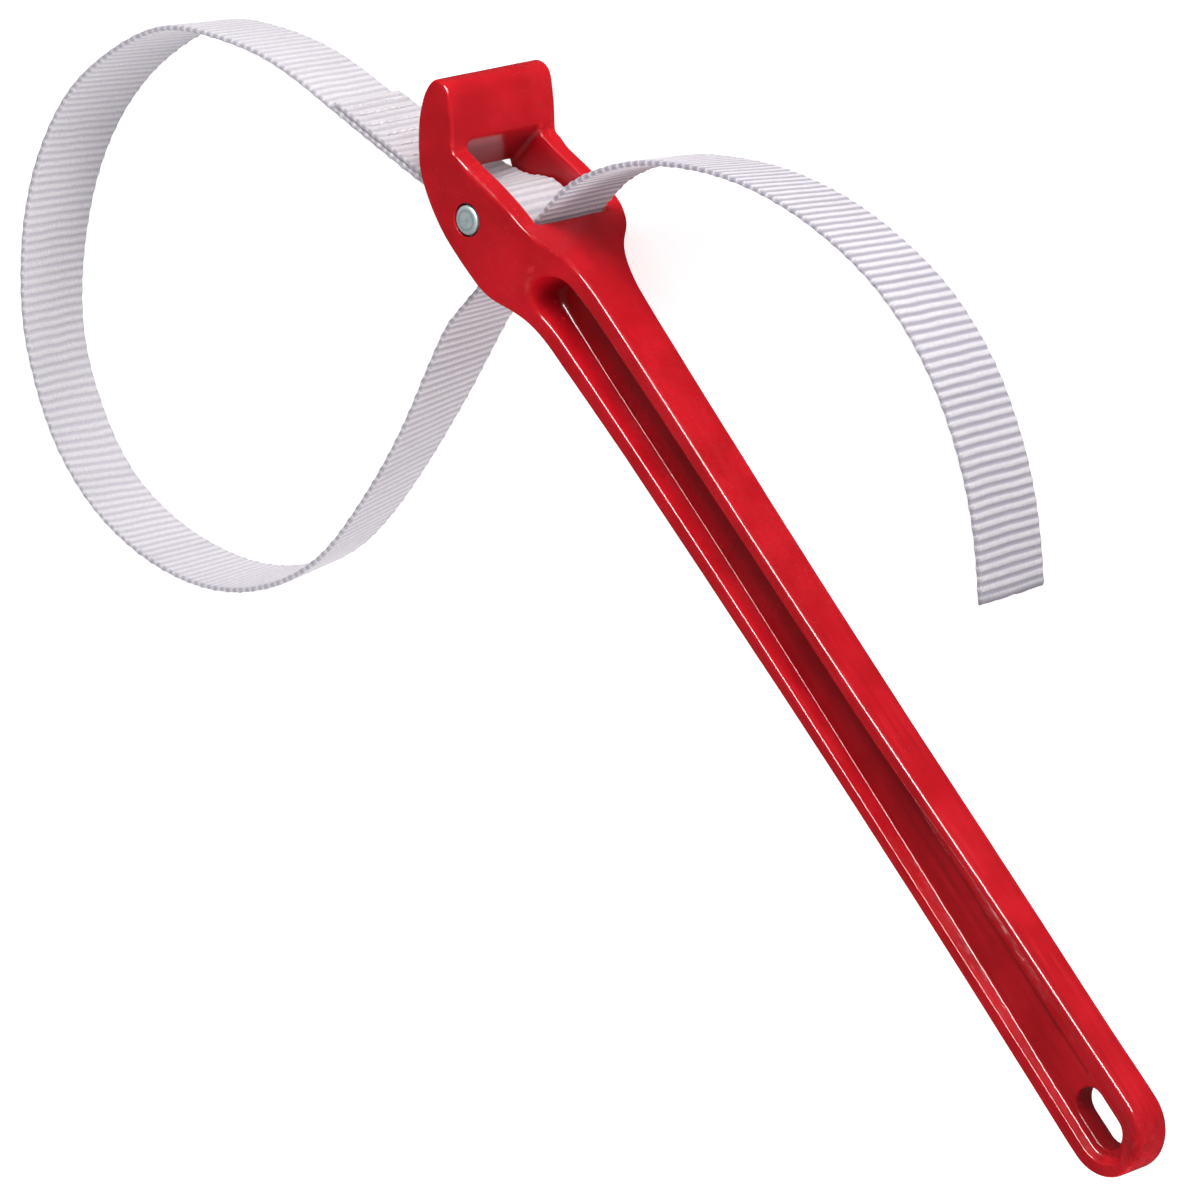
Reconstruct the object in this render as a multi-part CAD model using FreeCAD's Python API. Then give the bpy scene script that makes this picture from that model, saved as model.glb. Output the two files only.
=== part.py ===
import FreeCAD, Part
import os
from math import hypot
from FreeCAD import Vector

# Strap wrench for oil filters, in millimetres.
# The wrench lies on its side: the bench face is Z = 0 and the upper side face of the
# head is Z = HEAD_WIDTH.  The anchor pin's axis is the line X = Y = 0.  +X runs along
# the handle to its tail, +Y is the side on which the free end of the strap leaves the head.
# All points below are (X, Y) with the pin axis at PIN_CENTRE; every finished piece is
# moved by -PIN_CENTRE before it is written.

PIN_CENTRE = (0.8, 1.9)

# Head and handle, one casting
HEAD_WIDTH = 43.0            # along the pin
MID_Z = HEAD_WIDTH / 2
RAIL_THICKNESS = 6.5         # each side rail of the head
INNER_WIDTH = HEAD_WIDTH - 2 * RAIL_THICKNESS
WINDOW_X_JAW = -18.5         # inner wall of the jaw
WINDOW_X_SADDLE = 15.6       # wall of the saddle the strap runs against
WINDOW_CORNER_RADIUS = 1.6
RELIEF_RADIUS = 1.6
RELIEF_CENTRE = (WINDOW_X_JAW - 0.2, -4.7)
TAIL_X, TAIL_Y = 321.4, 5.2  # centre of the round tail end
TAIL_RADIUS = 13.4
HOLE_CENTRE = (317.7, 4.4)   # hang hole
HOLE_LENGTH = 19.4
HOLE_WIDTH = 10.2

# Cutters reach past the casting on all sides
CUT_Z0 = -10.0
CUT_HEIGHT = 60.0            # along Z
CUT_Y0 = -30.0
WINDOW_CUT_LENGTH = 60.0     # along Y
PLAN_CUT_LENGTH = 70.0       # along Y
PLAN_CUT_REACH = 30.0        # along Z, from MID_Z

# Anchor pin
PIN_DIAMETER = 8.8
PIN_HOLE_DIAMETER = 8.84
PIN_PROUD = 0.3              # above the upper side face; the other end is flush
PIN_CHAMFER = 0.35

# Webbing
WEB_WIDTH = 28.0
WEB_THICKNESS = 2.0
STRAP_Z0 = MID_Z - WEB_WIDTH / 2
GAP = 0.6                    # slit between two neighbouring strap sections
LOOP_SECTIONS = 12
TAIL_SECTIONS = 6
SECTION_POINTS = 9           # points along each face of a section
STRAND_X = 14.0              # centreline of the straight strand inside the head
STRAND_Y0 = -30.0
STRAND_Y1 = 27.0
LAP_DIR = (-0.92848, -0.37139)        # along the doubled strand, away from the pin
LAP_NORMAL = (LAP_DIR[1], -LAP_DIR[0])  # out of its +Y face
LAP_LENGTH = 45.8

# Hollow of the eye
HOLLOW_TIP = (-17.0, -8.6)
HOLLOW_START, HOLLOW_END = 0.055, 0.925  # fractions of the eye outline it follows
HOLLOW_POINTS = 40

# Stitches on the lap
THREAD_DIAMETER = 0.8
THREAD_RAISE = 0.12 * THREAD_DIAMETER  # thread axis outside the face of the webbing
STITCH_LENGTH = 2.4
STITCH_SPACE = 1.0           # nominal space between stitches in a row
STITCH_MARGIN = 2.6          # from the edge of the webbing to the rows
STITCH_ROWS = (8.5, 14.2, 19.9, 25.6, 31.3, 37.0, 41.3)  # along the lap, from the head

# Side outline of the casting, one closed loop: the -Y edge from jaw to tail, the +Y
# edge from tail to head, then the jaw.  Each table makes two splines that meet at
# the point with the index *_SPLIT.
LOW_EDGE_SPLIT = 23
LOW_EDGE = [
    (-36.6, 18.7), (-36.5, 17.1), (-35.9, 14.4), (-34.8, 11.9), (-33.5, 9.6), (-32.1, 7.4),
    (-30.6, 5.5), (-29.0, 3.7), (-27.4, 2.1), (-25.8, 0.5), (-24.1, -1.0), (-22.4, -2.4),
    (-20.4, -3.7), (-18.2, -4.8), (-16.0, -5.7), (-13.6, -6.5), (-11.1, -7.3), (-8.6, -7.9),
    (-6.2, -8.4), (-3.7, -8.8), (-1.0, -9.1), (1.9, -9.2), (7.7, -9.2), (13.4, -9.05),
    (19.1, -9.7), (25.0, -10.1), (32.0, -9.6), (40.0, -9.2), (60.0, -8.6), (80.0, -8.0),
    (100.0, -7.7), (120.0, -7.4), (140.0, -7.2), (160.0, -6.95), (180.0, -6.8), (200.0, -6.8),
    (220.0, -6.9), (240.0, -7.0), (260.0, -7.3), (280.0, -7.65), (300.0, -8.0),
    (TAIL_X, TAIL_Y - TAIL_RADIUS)]
HIGH_EDGE_SPLIT = 16
HIGH_EDGE = [
    (TAIL_X, TAIL_Y + TAIL_RADIUS),
    (300.0, 18.3), (280.0, 18.1), (260.0, 17.9), (240.0, 17.6), (220.0, 17.2),
    (200.0, 16.8), (180.0, 16.5), (160.0, 16.3), (140.0, 16.2), (120.0, 16.2), (100.0, 16.4),
    (80.0, 16.6), (60.0, 16.8), (40.0, 17.1), (30.0, 17.6), (22.0, 18.05), (15.0, 18.0),
    (9.0, 17.4), (4.0, 16.5), (-1.0, 15.4), (-6.0, 14.0), (-10.5, 12.75), (-14.6, 11.9)]
JAW_SPLIT = 5
JAW = [
    (-16.4, 11.6), (-17.4, 12.05), (-18.8, 13.3), (-20.2, 14.6), (-23.2, 17.3), (-27.6, 20.9),
    (-29.6, 22.2), (-31.6, 22.8), (-33.6, 22.5), (-35.3, 21.5), (-36.3, 20.2), LOW_EDGE[0]]

# Plan outline of the casting: (X, half width about MID_Z)
PLAN = [
    (9.0, 22.4), (12.6, 21.8), (15.6, 21.1), (18.4, 20.2), (19.8, 19.6), (21.2, 18.75),
    (22.8, 17.4), (24.2, 16.0), (25.8, 14.5), (27.8, 13.0), (30.0, 11.8), (33.0, 10.7),
    (36.5, 9.9), (41.0, 9.3), (50.0, 8.95), (60.0, 8.7), (80.0, 8.4), (100.0, 8.2),
    (120.0, 8.0), (140.0, 7.8), (160.0, 7.6), (180.0, 7.4), (200.0, 7.15), (220.0, 6.95),
    (240.0, 6.75), (260.0, 6.5), (280.0, 6.3), (300.0, 6.15), (345.0, 6.1)]

# Recess in each side of the handle: its +Y and -Y edges, head to tail, at RECESS_RIM_Z
RECESS_HIGH = [
    (33.4, 11.4), (60.0, 11.6), (100.0, 11.9), (140.0, 12.2), (180.0, 12.9), (220.0, 13.5),
    (260.0, 14.0), (290.0, 14.3), (321.8, 14.9)]
RECESS_LOW = [
    (33.4, -4.0), (60.0, -3.7), (100.0, -3.1), (140.0, -2.8), (180.0, -2.9), (220.0, -3.2),
    (260.0, -3.5), (290.0, -3.8), (321.8, -4.1)]
RECESS_RIM_Z = MID_Z + 7.5
RECESS_FLOOR_Z = MID_Z + 2.6  # leaves the web of the I-section
RECESS_CUT_Z = HEAD_WIDTH + 1.0
RECESS_DRAFT = 0.20          # wall slope, mm per mm of depth

# Centreline of the loop, points LOOP_STEP apart along it, from the end of the lap
# round to the strand inside the head
LOOP_STEP = 12.248
LOOP_LINE = [
    (-59.9, -26.93), (-71.34, -31.29), (-82.54, -36.23), (-93.11, -42.4), (-102.89, -49.75),
    (-112.08, -57.84), (-119.98, -67.17), (-125.46, -78.08), (-128.98, -89.8),
    (-131.29, -101.82), (-132.07, -114.03), (-131.02, -126.22), (-128.34, -138.16),
    (-124.17, -149.66), (-118.57, -160.54), (-111.76, -170.71), (-103.87, -180.07),
    (-94.87, -188.35), (-84.53, -194.87), (-73.3, -199.73), (-61.53, -203.07),
    (-49.37, -204.31), (-37.19, -203.19), (-25.41, -199.89), (-14.24, -194.9),
    (-3.83, -188.48), (5.67, -180.76), (13.85, -171.67), (20.52, -161.42), (25.58, -150.28),
    (28.87, -138.5), (30.17, -126.34), (29.82, -114.11), (28.59, -101.92), (26.87, -89.8),
    (24.67, -77.76), (22.05, -65.8), (18.99, -53.94), (15.94, -42.08), (STRAND_X, STRAND_Y0)]

# Centreline of the free end, from the +Y end of the strand in the head
TAIL_LINE = [
    (STRAND_X, STRAND_Y1), (15.9, 38.6), (20.4, 49.6), (27.0, 60.6), (35.6, 71.0),
    (46.0, 81.2), (58.2, 90.4), (71.0, 97.7), (84.5, 103.3), (98.0, 107.2), (111.5, 109.2),
    (125.0, 109.0), (138.0, 106.9), (150.5, 103.0), (162.0, 98.0), (172.5, 92.0),
    (182.0, 85.2), (190.6, 78.0)]
TAIL_END_DIR = (0.74, -0.672)

# Outer outline of the sewn eye, from the jaw side over the pin and back to the -Y side
EYE_OUTLINE = [
    (-18.5, -7.15), (-14.6, -4.9), (-11.4, -1.6), (-8.2, 2.9), (-4.4, 7.1), (-0.2, 9.2),
    (4.2, 9.6), (8.0, 8.1), (10.4, 4.8), (11.2, 0.6), (10.5, -3.6), (7.8, -6.9), (3.4, -8.9),
    (-2.2, -9.9), (-9.0, -10.6), (-16.98, -10.85)]


# ---- Helpers ----

def at(point, z=0.0):
    return Vector(point[0], point[1], z)


def line(start, end, z=0.0):
    return Part.makeLine(at(start, z), at(end, z))


def spline(points, z=0.0, directions=None, parameters=None):
    """B-spline curve through points; directions are its start and end directions."""
    options = {"Points": [at(p, z) for p in points]}
    if parameters is not None:
        options["Parameters"] = parameters
    if directions is not None:
        options["InitialTangent"] = at(directions[0])
        options["FinalTangent"] = at(directions[1])
        options["Scale"] = False
    curve = Part.BSplineCurve()
    curve.interpolate(**options)
    return curve


def split_spline(points, index):
    """Two spline edges that meet at points[index]."""
    return [spline(points[:index + 1]).toShape(), spline(points[index:]).toShape()]


def round_end(start, end, side, z=0.0):
    """Half circle from start to end, bulging to +X (side 1) or -X (side -1)."""
    radius = abs(start[1] - end[1]) / 2
    middle = (start[0] + side * radius, (start[1] + end[1]) / 2)
    return Part.Arc(at(start, z), at(middle, z), at(end, z)).toShape()


def prism(edges, height):
    """Solid raised along Z from a closed flat loop of edges."""
    return Part.Face(Part.Wire(edges)).extrude(Vector(0, 0, height))


def through_cylinder(radius, centre):
    return Part.makeCylinder(radius, CUT_HEIGHT, at(centre, CUT_Z0))


def single_solid(shape):
    """The one solid of a shape, with split faces merged."""
    [solid] = shape.removeSplitter().Solids
    return solid


def offset_points(curve, start, end, count, distance):
    """Points beside a curve between two parameters, distance to its left."""
    points = []
    for i in range(count):
        parameter = start + (end - start) * i / (count - 1)
        position = curve.value(parameter)
        tangent = curve.tangent(parameter)[0]
        points.append((position.x - distance * tangent.y, position.y + distance * tangent.x))
    return points


# ---- Casting ----

def plan_cutter(side):
    """What lies outside the plan outline, on the +Z (1) or -Z (-1) side."""
    edge_points = [Vector(x, CUT_Y0, MID_Z + side * half) for x, half in PLAN]
    curve = Part.BSplineCurve()
    curve.interpolate(edge_points)
    far_z = MID_Z + side * PLAN_CUT_REACH
    corners = [edge_points[-1], Vector(PLAN[-1][0], CUT_Y0, far_z),
               Vector(PLAN[0][0], CUT_Y0, far_z), edge_points[0]]
    edges = [curve.toShape()]
    edges += [Part.makeLine(a, b) for a, b in zip(corners, corners[1:])]
    return Part.Face(Part.Wire(edges)).extrude(Vector(0, PLAN_CUT_LENGTH, 0))


def window_cutter():
    window = Part.makeBox(WINDOW_X_SADDLE - WINDOW_X_JAW, WINDOW_CUT_LENGTH, INNER_WIDTH,
                          Vector(WINDOW_X_JAW, CUT_Y0, RAIL_THICKNESS))
    edges_along_y = [e for e in window.Edges
                     if abs(e.Vertexes[0].Y - e.Vertexes[1].Y) > WINDOW_CUT_LENGTH - 10]
    return window.makeFillet(WINDOW_CORNER_RADIUS, edges_along_y)


def recess_outline(z):
    growth = (z - RECESS_RIM_Z) * RECESS_DRAFT
    high = [(x, y + growth) for x, y in RECESS_HIGH]
    low = [(x, y - growth) for x, y in RECESS_LOW]
    return Part.Wire([spline(high, z).toShape(), round_end(high[-1], low[-1], 1, z),
                      spline(low[::-1], z).toShape(), round_end(low[0], high[0], -1, z)])


def hang_hole_cutter():
    half_straight = (HOLE_LENGTH - HOLE_WIDTH) / 2
    x, y = HOLE_CENTRE
    hole = Part.makeBox(2 * half_straight, HOLE_WIDTH, CUT_HEIGHT,
                        Vector(x - half_straight, y - HOLE_WIDTH / 2, CUT_Z0))
    for side in (-1, 1):
        hole = hole.fuse(through_cylinder(HOLE_WIDTH / 2, (x + side * half_straight, y)))
    return hole.removeSplitter()


def handle_casting():
    body = prism(split_spline(LOW_EDGE, LOW_EDGE_SPLIT)
                 + [round_end(LOW_EDGE[-1], HIGH_EDGE[0], 1)]
                 + split_spline(HIGH_EDGE, HIGH_EDGE_SPLIT)
                 + [line(HIGH_EDGE[-1], JAW[0])]
                 + split_spline(JAW, JAW_SPLIT), HEAD_WIDTH)
    for side in (1, -1):
        body = body.cut(plan_cutter(side))
    body = body.cut(window_cutter())

    # relief on the jaw's inner -Y edge, so that the webbing isn't cut there
    body = body.cut(Part.makeCylinder(RELIEF_RADIUS, INNER_WIDTH,
                                      at(RELIEF_CENTRE, RAIL_THICKNESS)))

    recess = Part.makeLoft([recess_outline(RECESS_FLOOR_Z), recess_outline(RECESS_CUT_Z)],
                           True, True)
    mirrored = recess.mirror(Vector(0, 0, MID_Z), Vector(0, 0, 1))
    body = body.cut(recess).cut(mirrored)
    body = body.cut(hang_hole_cutter())
    body = body.cut(through_cylinder(PIN_HOLE_DIAMETER / 2, PIN_CENTRE))
    return single_solid(body)


# ---- Pin ----

def anchor_pin():
    """Pin with a chamfer on its +Z end."""
    pin = Part.makeCylinder(PIN_DIAMETER / 2, HEAD_WIDTH + PIN_PROUD, at(PIN_CENTRE))
    top_edges = [e for e in pin.Edges
                 if e.BoundBox.ZMin > HEAD_WIDTH - 1 and e.BoundBox.ZLength < 0.01]
    return pin.makeChamfer(PIN_CHAMFER, top_edges).Solids[0]


# ---- Strap ----

def lap_point(along, outward):
    """Point on the lap: along it from the head, outward from its +Y face."""
    return tuple(EYE_OUTLINE[0][i] + LAP_DIR[i] * along + LAP_NORMAL[i] * outward
                 for i in (0, 1))


def strap_eye():
    """Eye round the pin and the doubled strand as far as the end of the lap.
    The +Y layer is the short end, the -Y layer goes on as the loop."""
    toward_pin = (-LAP_DIR[0], -LAP_DIR[1])
    outline = spline(EYE_OUTLINE, STRAP_Z0, (toward_pin, LAP_DIR))
    corners = [EYE_OUTLINE[-1], lap_point(LAP_LENGTH, -2 * WEB_THICKNESS),
               lap_point(LAP_LENGTH, 0), EYE_OUTLINE[0]]
    edges = [outline.toShape()]
    edges += [line(a, b, STRAP_Z0) for a, b in zip(corners, corners[1:])]
    body = prism(edges, WEB_WIDTH)

    # the hollow lies one thickness inside the outline and closes at its tip
    first = outline.FirstParameter
    span = outline.LastParameter - first
    points = [HOLLOW_TIP] + offset_points(outline, first + span * HOLLOW_START,
                                          first + span * HOLLOW_END,
                                          HOLLOW_POINTS, -WEB_THICKNESS)
    hollow = Part.BSplineCurve()
    hollow.interpolate(Points=[at(p, STRAP_Z0) for p in points], PeriodicFlag=True)
    return single_solid(body.cut(prism([hollow.toShape()], WEB_WIDTH)))


def strap_stitching():
    """Rows of stitches across the lap: a bar on the +Y face and one on the -Y face."""
    row_length = WEB_WIDTH - 2 * STITCH_MARGIN
    count = round(row_length / (STITCH_LENGTH + STITCH_SPACE))
    bars = []
    for along in STITCH_ROWS:
        for i in range(count):
            middle_z = STRAP_Z0 + STITCH_MARGIN + row_length * (i + 0.5) / count
            for outward in (THREAD_RAISE, -2 * WEB_THICKNESS - THREAD_RAISE):
                start = at(lap_point(along, outward), middle_z - STITCH_LENGTH / 2)
                bars.append(Part.makeCylinder(THREAD_DIAMETER / 2, STITCH_LENGTH, start))
    return Part.makeCompound(bars)


def strap_section(curve, start, end):
    """Curved strip of webbing along a centreline between two parameters."""
    left, right = [offset_points(curve, start, end, SECTION_POINTS, side * WEB_THICKNESS / 2)
                   for side in (1, -1)]
    return prism([spline(left, STRAP_Z0).toShape(), line(left[-1], right[-1], STRAP_Z0),
                  spline(right[::-1], STRAP_Z0).toShape(), line(right[0], left[0], STRAP_Z0)],
                 WEB_WIDTH)


def strap_sections(name, curve, length, count, start_gap, end_gap):
    """Numbered sections of a strand; the gaps are those at its two ends."""
    step = length / count
    sections = {}
    for k in range(count):
        start = k * step + (start_gap if k == 0 else GAP / 2)
        end = (k + 1) * step - (end_gap if k == count - 1 else GAP / 2)
        sections["%s_%02d" % (name, k + 1)] = strap_section(curve, start, end)
    return sections


def loop_sections():
    distances = [i * LOOP_STEP for i in range(len(LOOP_LINE))]
    curve = spline(LOOP_LINE, 0.0, (LAP_DIR, (0.0, 1.0)), distances)
    return strap_sections("strap_loop", curve, distances[-1], LOOP_SECTIONS, GAP, GAP / 2)


def slot_strand():
    """Straight strand inside the head."""
    return Part.makeBox(WEB_THICKNESS, STRAND_Y1 - STRAND_Y0 - GAP, WEB_WIDTH,
                        Vector(STRAND_X - WEB_THICKNESS / 2, STRAND_Y0 + GAP / 2, STRAP_Z0))


def tail_sections():
    distances = [0.0]
    for (x0, y0), (x1, y1) in zip(TAIL_LINE, TAIL_LINE[1:]):
        distances.append(distances[-1] + hypot(x1 - x0, y1 - y0))
    curve = spline(TAIL_LINE, 0.0, ((0.0, 1.0), TAIL_END_DIR), distances)
    return strap_sections("strap_tail", curve, distances[-1], TAIL_SECTIONS, GAP / 2, 0.0)


# ---- Build and write ----

parts = {
    "handle_casting": handle_casting(),
    "anchor_pin": anchor_pin(),
    "strap_eye": strap_eye(),
    "strap_stitching": strap_stitching(),
    **loop_sections(),
    "strap_slot_strand": slot_strand(),
    **tail_sections(),
}

os.makedirs("parts", exist_ok=True)
for name, shape in parts.items():
    shape.translate(Vector(-PIN_CENTRE[0], -PIN_CENTRE[1], 0))
    shape.exportStep("parts/%s.step" % name)
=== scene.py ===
# A red enamelled cast handle on a zinc-plated anchor pin, with a white webbing strap that is
# sewn round the pin, makes a large loop, passes back through the window in the handle's head
# and leaves as a tail.
# The pin's axis is the origin of x and y. The handle runs along +x with its two faces towards
# -z and +z, and the floor lies just under z = 0. Shapes are worked out in millimetres.
import bpy
import math
import numpy as np
from mathutils import Matrix, Vector


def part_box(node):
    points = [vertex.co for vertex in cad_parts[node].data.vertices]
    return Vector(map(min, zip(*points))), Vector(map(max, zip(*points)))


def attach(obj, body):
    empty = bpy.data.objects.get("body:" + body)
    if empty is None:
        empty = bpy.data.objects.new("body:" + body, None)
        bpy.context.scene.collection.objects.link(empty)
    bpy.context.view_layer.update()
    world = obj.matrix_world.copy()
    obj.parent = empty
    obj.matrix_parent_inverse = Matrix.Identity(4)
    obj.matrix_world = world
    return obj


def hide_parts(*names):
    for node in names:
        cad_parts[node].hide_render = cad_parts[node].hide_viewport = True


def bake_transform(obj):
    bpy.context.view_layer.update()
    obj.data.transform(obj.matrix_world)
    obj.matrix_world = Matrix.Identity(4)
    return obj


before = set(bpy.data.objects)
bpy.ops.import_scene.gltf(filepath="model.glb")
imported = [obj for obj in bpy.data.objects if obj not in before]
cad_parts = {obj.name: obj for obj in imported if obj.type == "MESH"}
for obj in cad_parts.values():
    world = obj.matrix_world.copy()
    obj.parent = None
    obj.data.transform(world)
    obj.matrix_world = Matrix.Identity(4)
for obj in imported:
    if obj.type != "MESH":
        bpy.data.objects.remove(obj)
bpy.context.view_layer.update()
MM = 0.001

MID = 21.5                                   # z of the mid-plane of handle and strap
PIN_X, PIN_Y = 0.8, 1.9                      # pin axis in the coordinates of the tables below
OFFSET = np.array((-PIN_X, -PIN_Y))          # from the tables' x, y to the scene's


# ---------------------------------------------------------------------------
# numeric helpers
# ---------------------------------------------------------------------------
def unit(vectors):
    return vectors / np.linalg.norm(vectors, axis=1)[:, None]


def lookup(table, x):
    """Second column of a table at x in its first."""
    table = np.asarray(table, float)
    return np.interp(x, table[:, 0], table[:, 1])


def smoothstep(start, end, x):
    t = np.clip((x - start) / (end - start), 0, 1)
    return t * t * (3 - 2 * t)


def fall(start, end, x):
    """1 before start, easing to 0 after end."""
    return 1 - smoothstep(start, end, x)


def between(t, t_a, t_b, a, b):
    """Value at t on the line from a at t_a to b at t_b."""
    return (t_b - t) / (t_b - t_a) * a + (t - t_a) / (t_b - t_a) * b


def catmull(points, per_span, closed=False):
    """Centripetal Catmull-Rom curve through points."""
    points = np.asarray(points, float)
    if closed:
        padded = np.vstack([points[-1], points, points[0], points[1]])
    else:
        padded = np.vstack([2 * points[0] - points[1], points, 2 * points[-1] - points[-2]])
    out = []
    for i in range(len(padded) - 3):
        span = padded[i:i + 4]
        gaps = [max(np.linalg.norm(b - a), 1e-6) ** 0.5 for a, b in zip(span[:-1], span[1:])]
        knots = np.cumsum([0.0] + gaps)
        t = np.linspace(knots[1], knots[2], per_span, endpoint=False)[:, None]
        first = [between(t, knots[j], knots[j + 1], span[j], span[j + 1]) for j in range(3)]
        second = [between(t, knots[j], knots[j + 2], first[j], first[j + 1]) for j in range(2)]
        out.append(between(t, knots[1], knots[2], *second))
    out = np.vstack(out)
    return out if closed else np.vstack([out, points[-1]])


def arc(centre, radius, start, end, count):
    """Points on an arc between two angles in degrees."""
    angle = np.radians(np.linspace(start, end, count))
    return np.c_[centre[0] + radius * np.cos(angle), centre[1] + radius * np.sin(angle)]


def polygon_distance(px, py, polygon):
    """Signed distance of points to a closed polygon, negative inside."""
    px = px.astype(np.float32).ravel()
    py = py.astype(np.float32).ravel()
    start = polygon.astype(np.float32)
    end = np.roll(start, -1, 0)
    edge = end - start
    length_sq = np.maximum((edge ** 2).sum(1), 1e-9)
    edge_y = np.where(edge[:, 1] == 0, 1e-9, edge[:, 1])
    out = np.empty(len(px), np.float32)
    batch = 4096                             # keeps the point-by-edge arrays small
    for i in range(0, len(px), batch):
        x = px[i:i + batch, None]
        y = py[i:i + batch, None]
        from_x = x - start[:, 0]
        from_y = y - start[:, 1]
        t = np.clip((from_x * edge[:, 0] + from_y * edge[:, 1]) / length_sq, 0, 1)
        dist_sq = ((from_x - t * edge[:, 0]) ** 2 + (from_y - t * edge[:, 1]) ** 2).min(1)
        spans_y = (start[:, 1] <= y) != (end[:, 1] <= y)
        cross_x = start[:, 0] + (y - start[:, 1]) / edge_y * edge[:, 0]
        inside = ((spans_y & (x < cross_x)).sum(1) % 2) == 1
        out[i:i + batch] = np.sqrt(dist_sq) * np.where(inside, -1, 1)
    return out


class OutlineField:
    """Distance to an outline, looked up bilinearly on a grid that covers the casting."""
    X_RANGE, Y_RANGE, STEP = (-42, 339), (-14.5, 26.5), 0.3

    def __init__(self, polygon):
        xs, ys = (np.arange(lo, hi + self.STEP, self.STEP) for lo, hi in (self.X_RANGE, self.Y_RANGE))
        grid_x, grid_y = np.meshgrid(xs, ys, indexing="ij")
        self.grid = polygon_distance(grid_x, grid_y, polygon).reshape(grid_x.shape).astype(float)

    def __call__(self, x, y):
        grid = self.grid
        u = np.clip((x - self.X_RANGE[0]) / self.STEP, 0, grid.shape[0] - 1.001)
        v = np.clip((y - self.Y_RANGE[0]) / self.STEP, 0, grid.shape[1] - 1.001)
        i = u.astype(int)
        j = v.astype(int)
        u = u - i
        v = v - j
        return (grid[i, j] * (1 - u) * (1 - v) + grid[i + 1, j] * u * (1 - v)
                + grid[i, j + 1] * (1 - u) * v + grid[i + 1, j + 1] * u * v)


def round_max(a, b, radius):
    """Intersection of two distance fields with a rounded edge."""
    u = np.maximum(a + radius, 0)
    v = np.maximum(b + radius, 0)
    return np.minimum(np.maximum(a, b), -radius) + np.sqrt(u * u + v * v)


def gradient(function, points, step):
    """Central-difference gradient of a function of points."""
    out = np.empty_like(points)
    for axis in range(3):
        shift = np.zeros(3)
        shift[axis] = step
        out[:, axis] = (function(points + shift) - function(points - shift)) / (2 * step)
    return out


def lattice_hash(i, j, k, seed):
    h = (i * 374761393 + j * 668265263 + k * 2147483647 + seed * 974634777) & 0xFFFFFFFF
    h = ((h ^ (h >> 13)) * 1274126177) & 0xFFFFFFFF
    h = h ^ (h >> 16)
    return (h & 0xFFFFFF) / float(0xFFFFFF)


def noise(x, y, z, scale, seed):
    """Smooth value noise in -1..1."""
    places = [c / scale + 1000.0 for c in (x, y, z)]
    i, j, k = [np.floor(c).astype(np.int64) for c in places]
    fx, fy, fz = [c - whole for c, whole in zip(places, (i, j, k))]
    fx, fy, fz = [f * f * (3 - 2 * f) for f in (fx, fy, fz)]
    out = 0
    for a in (0, 1):
        for b in (0, 1):
            for c in (0, 1):
                weight = (fx if a else 1 - fx) * (fy if b else 1 - fy) * (fz if c else 1 - fz)
                out = out + weight * lattice_hash(i + a, j + b, k + c, seed)
    return out * 2 - 1


def add_object(name, data):
    ob = bpy.data.objects.new(name, data)
    bpy.context.scene.collection.objects.link(ob)
    return ob


def mesh_object(name, verts, quads, tris=(), normals=None, uv=None):
    """Smooth mesh object from millimetre coordinates; normals and uv are per vertex."""
    mesh = bpy.data.meshes.new(name)
    verts = np.asarray(verts, float) * MM
    quads = np.asarray(quads, np.int64)
    tris = np.asarray(tris, np.int64)
    quad_count, tri_count = len(quads), len(tris)
    mesh.vertices.add(len(verts))
    mesh.vertices.foreach_set("co", verts.astype(np.float32).ravel())
    loops = np.concatenate([quads.ravel(), tris.ravel()])
    mesh.loops.add(len(loops))
    mesh.loops.foreach_set("vertex_index", loops.astype(np.int32))
    mesh.polygons.add(quad_count + tri_count)
    starts = np.concatenate([np.arange(quad_count) * 4, quad_count * 4 + np.arange(tri_count) * 3])
    mesh.polygons.foreach_set("loop_start", starts.astype(np.int32))
    mesh.polygons.foreach_set("use_smooth", np.ones(quad_count + tri_count, bool))
    mesh.update(calc_edges=True)
    mesh.validate()
    if uv is not None:
        layer = mesh.uv_layers.new(name="strap")
        index = np.empty(len(mesh.loops), np.int32)
        mesh.loops.foreach_get("vertex_index", index)
        layer.data.foreach_set("uv", np.asarray(uv, np.float32)[index].ravel())
    if normals is not None:
        mesh.normals_split_custom_set_from_vertices(np.asarray(normals, np.float32).tolist())
    return add_object(name, mesh)


# ---------------------------------------------------------------------------
# casting: outlines (x, y), in order round the side view
# ---------------------------------------------------------------------------
LOW_Y_EDGE = [
    (-36.6, 18.7), (-36.5, 17.1), (-35.9, 14.4), (-34.8, 11.9), (-33.5, 9.6), (-32.1, 7.4),
    (-30.6, 5.5), (-29.0, 3.7), (-27.4, 2.1), (-25.8, 0.5), (-24.1, -1.0), (-22.4, -2.4),
    (-20.4, -3.7), (-18.2, -4.8), (-16.0, -5.7), (-13.6, -6.5), (-11.1, -7.3), (-8.6, -7.9),
    (-6.2, -8.4), (-3.7, -8.8), (-1.0, -9.1), (1.9, -9.2), (7.7, -9.2), (13.4, -9.05),
    (19.1, -9.7), (25.0, -10.1), (32.0, -9.6), (40.0, -9.2), (60.0, -8.6), (80.0, -8.0),
    (100.0, -7.7), (120.0, -7.4), (140.0, -7.2), (160.0, -6.95), (180.0, -6.8), (200.0, -6.8),
    (220.0, -6.9), (240.0, -7.0), (260.0, -7.3), (280.0, -7.65), (300.0, -8.0)]
TAIL_CENTRE, TAIL_RADIUS = (321.4, 5.2), 13.4
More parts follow.
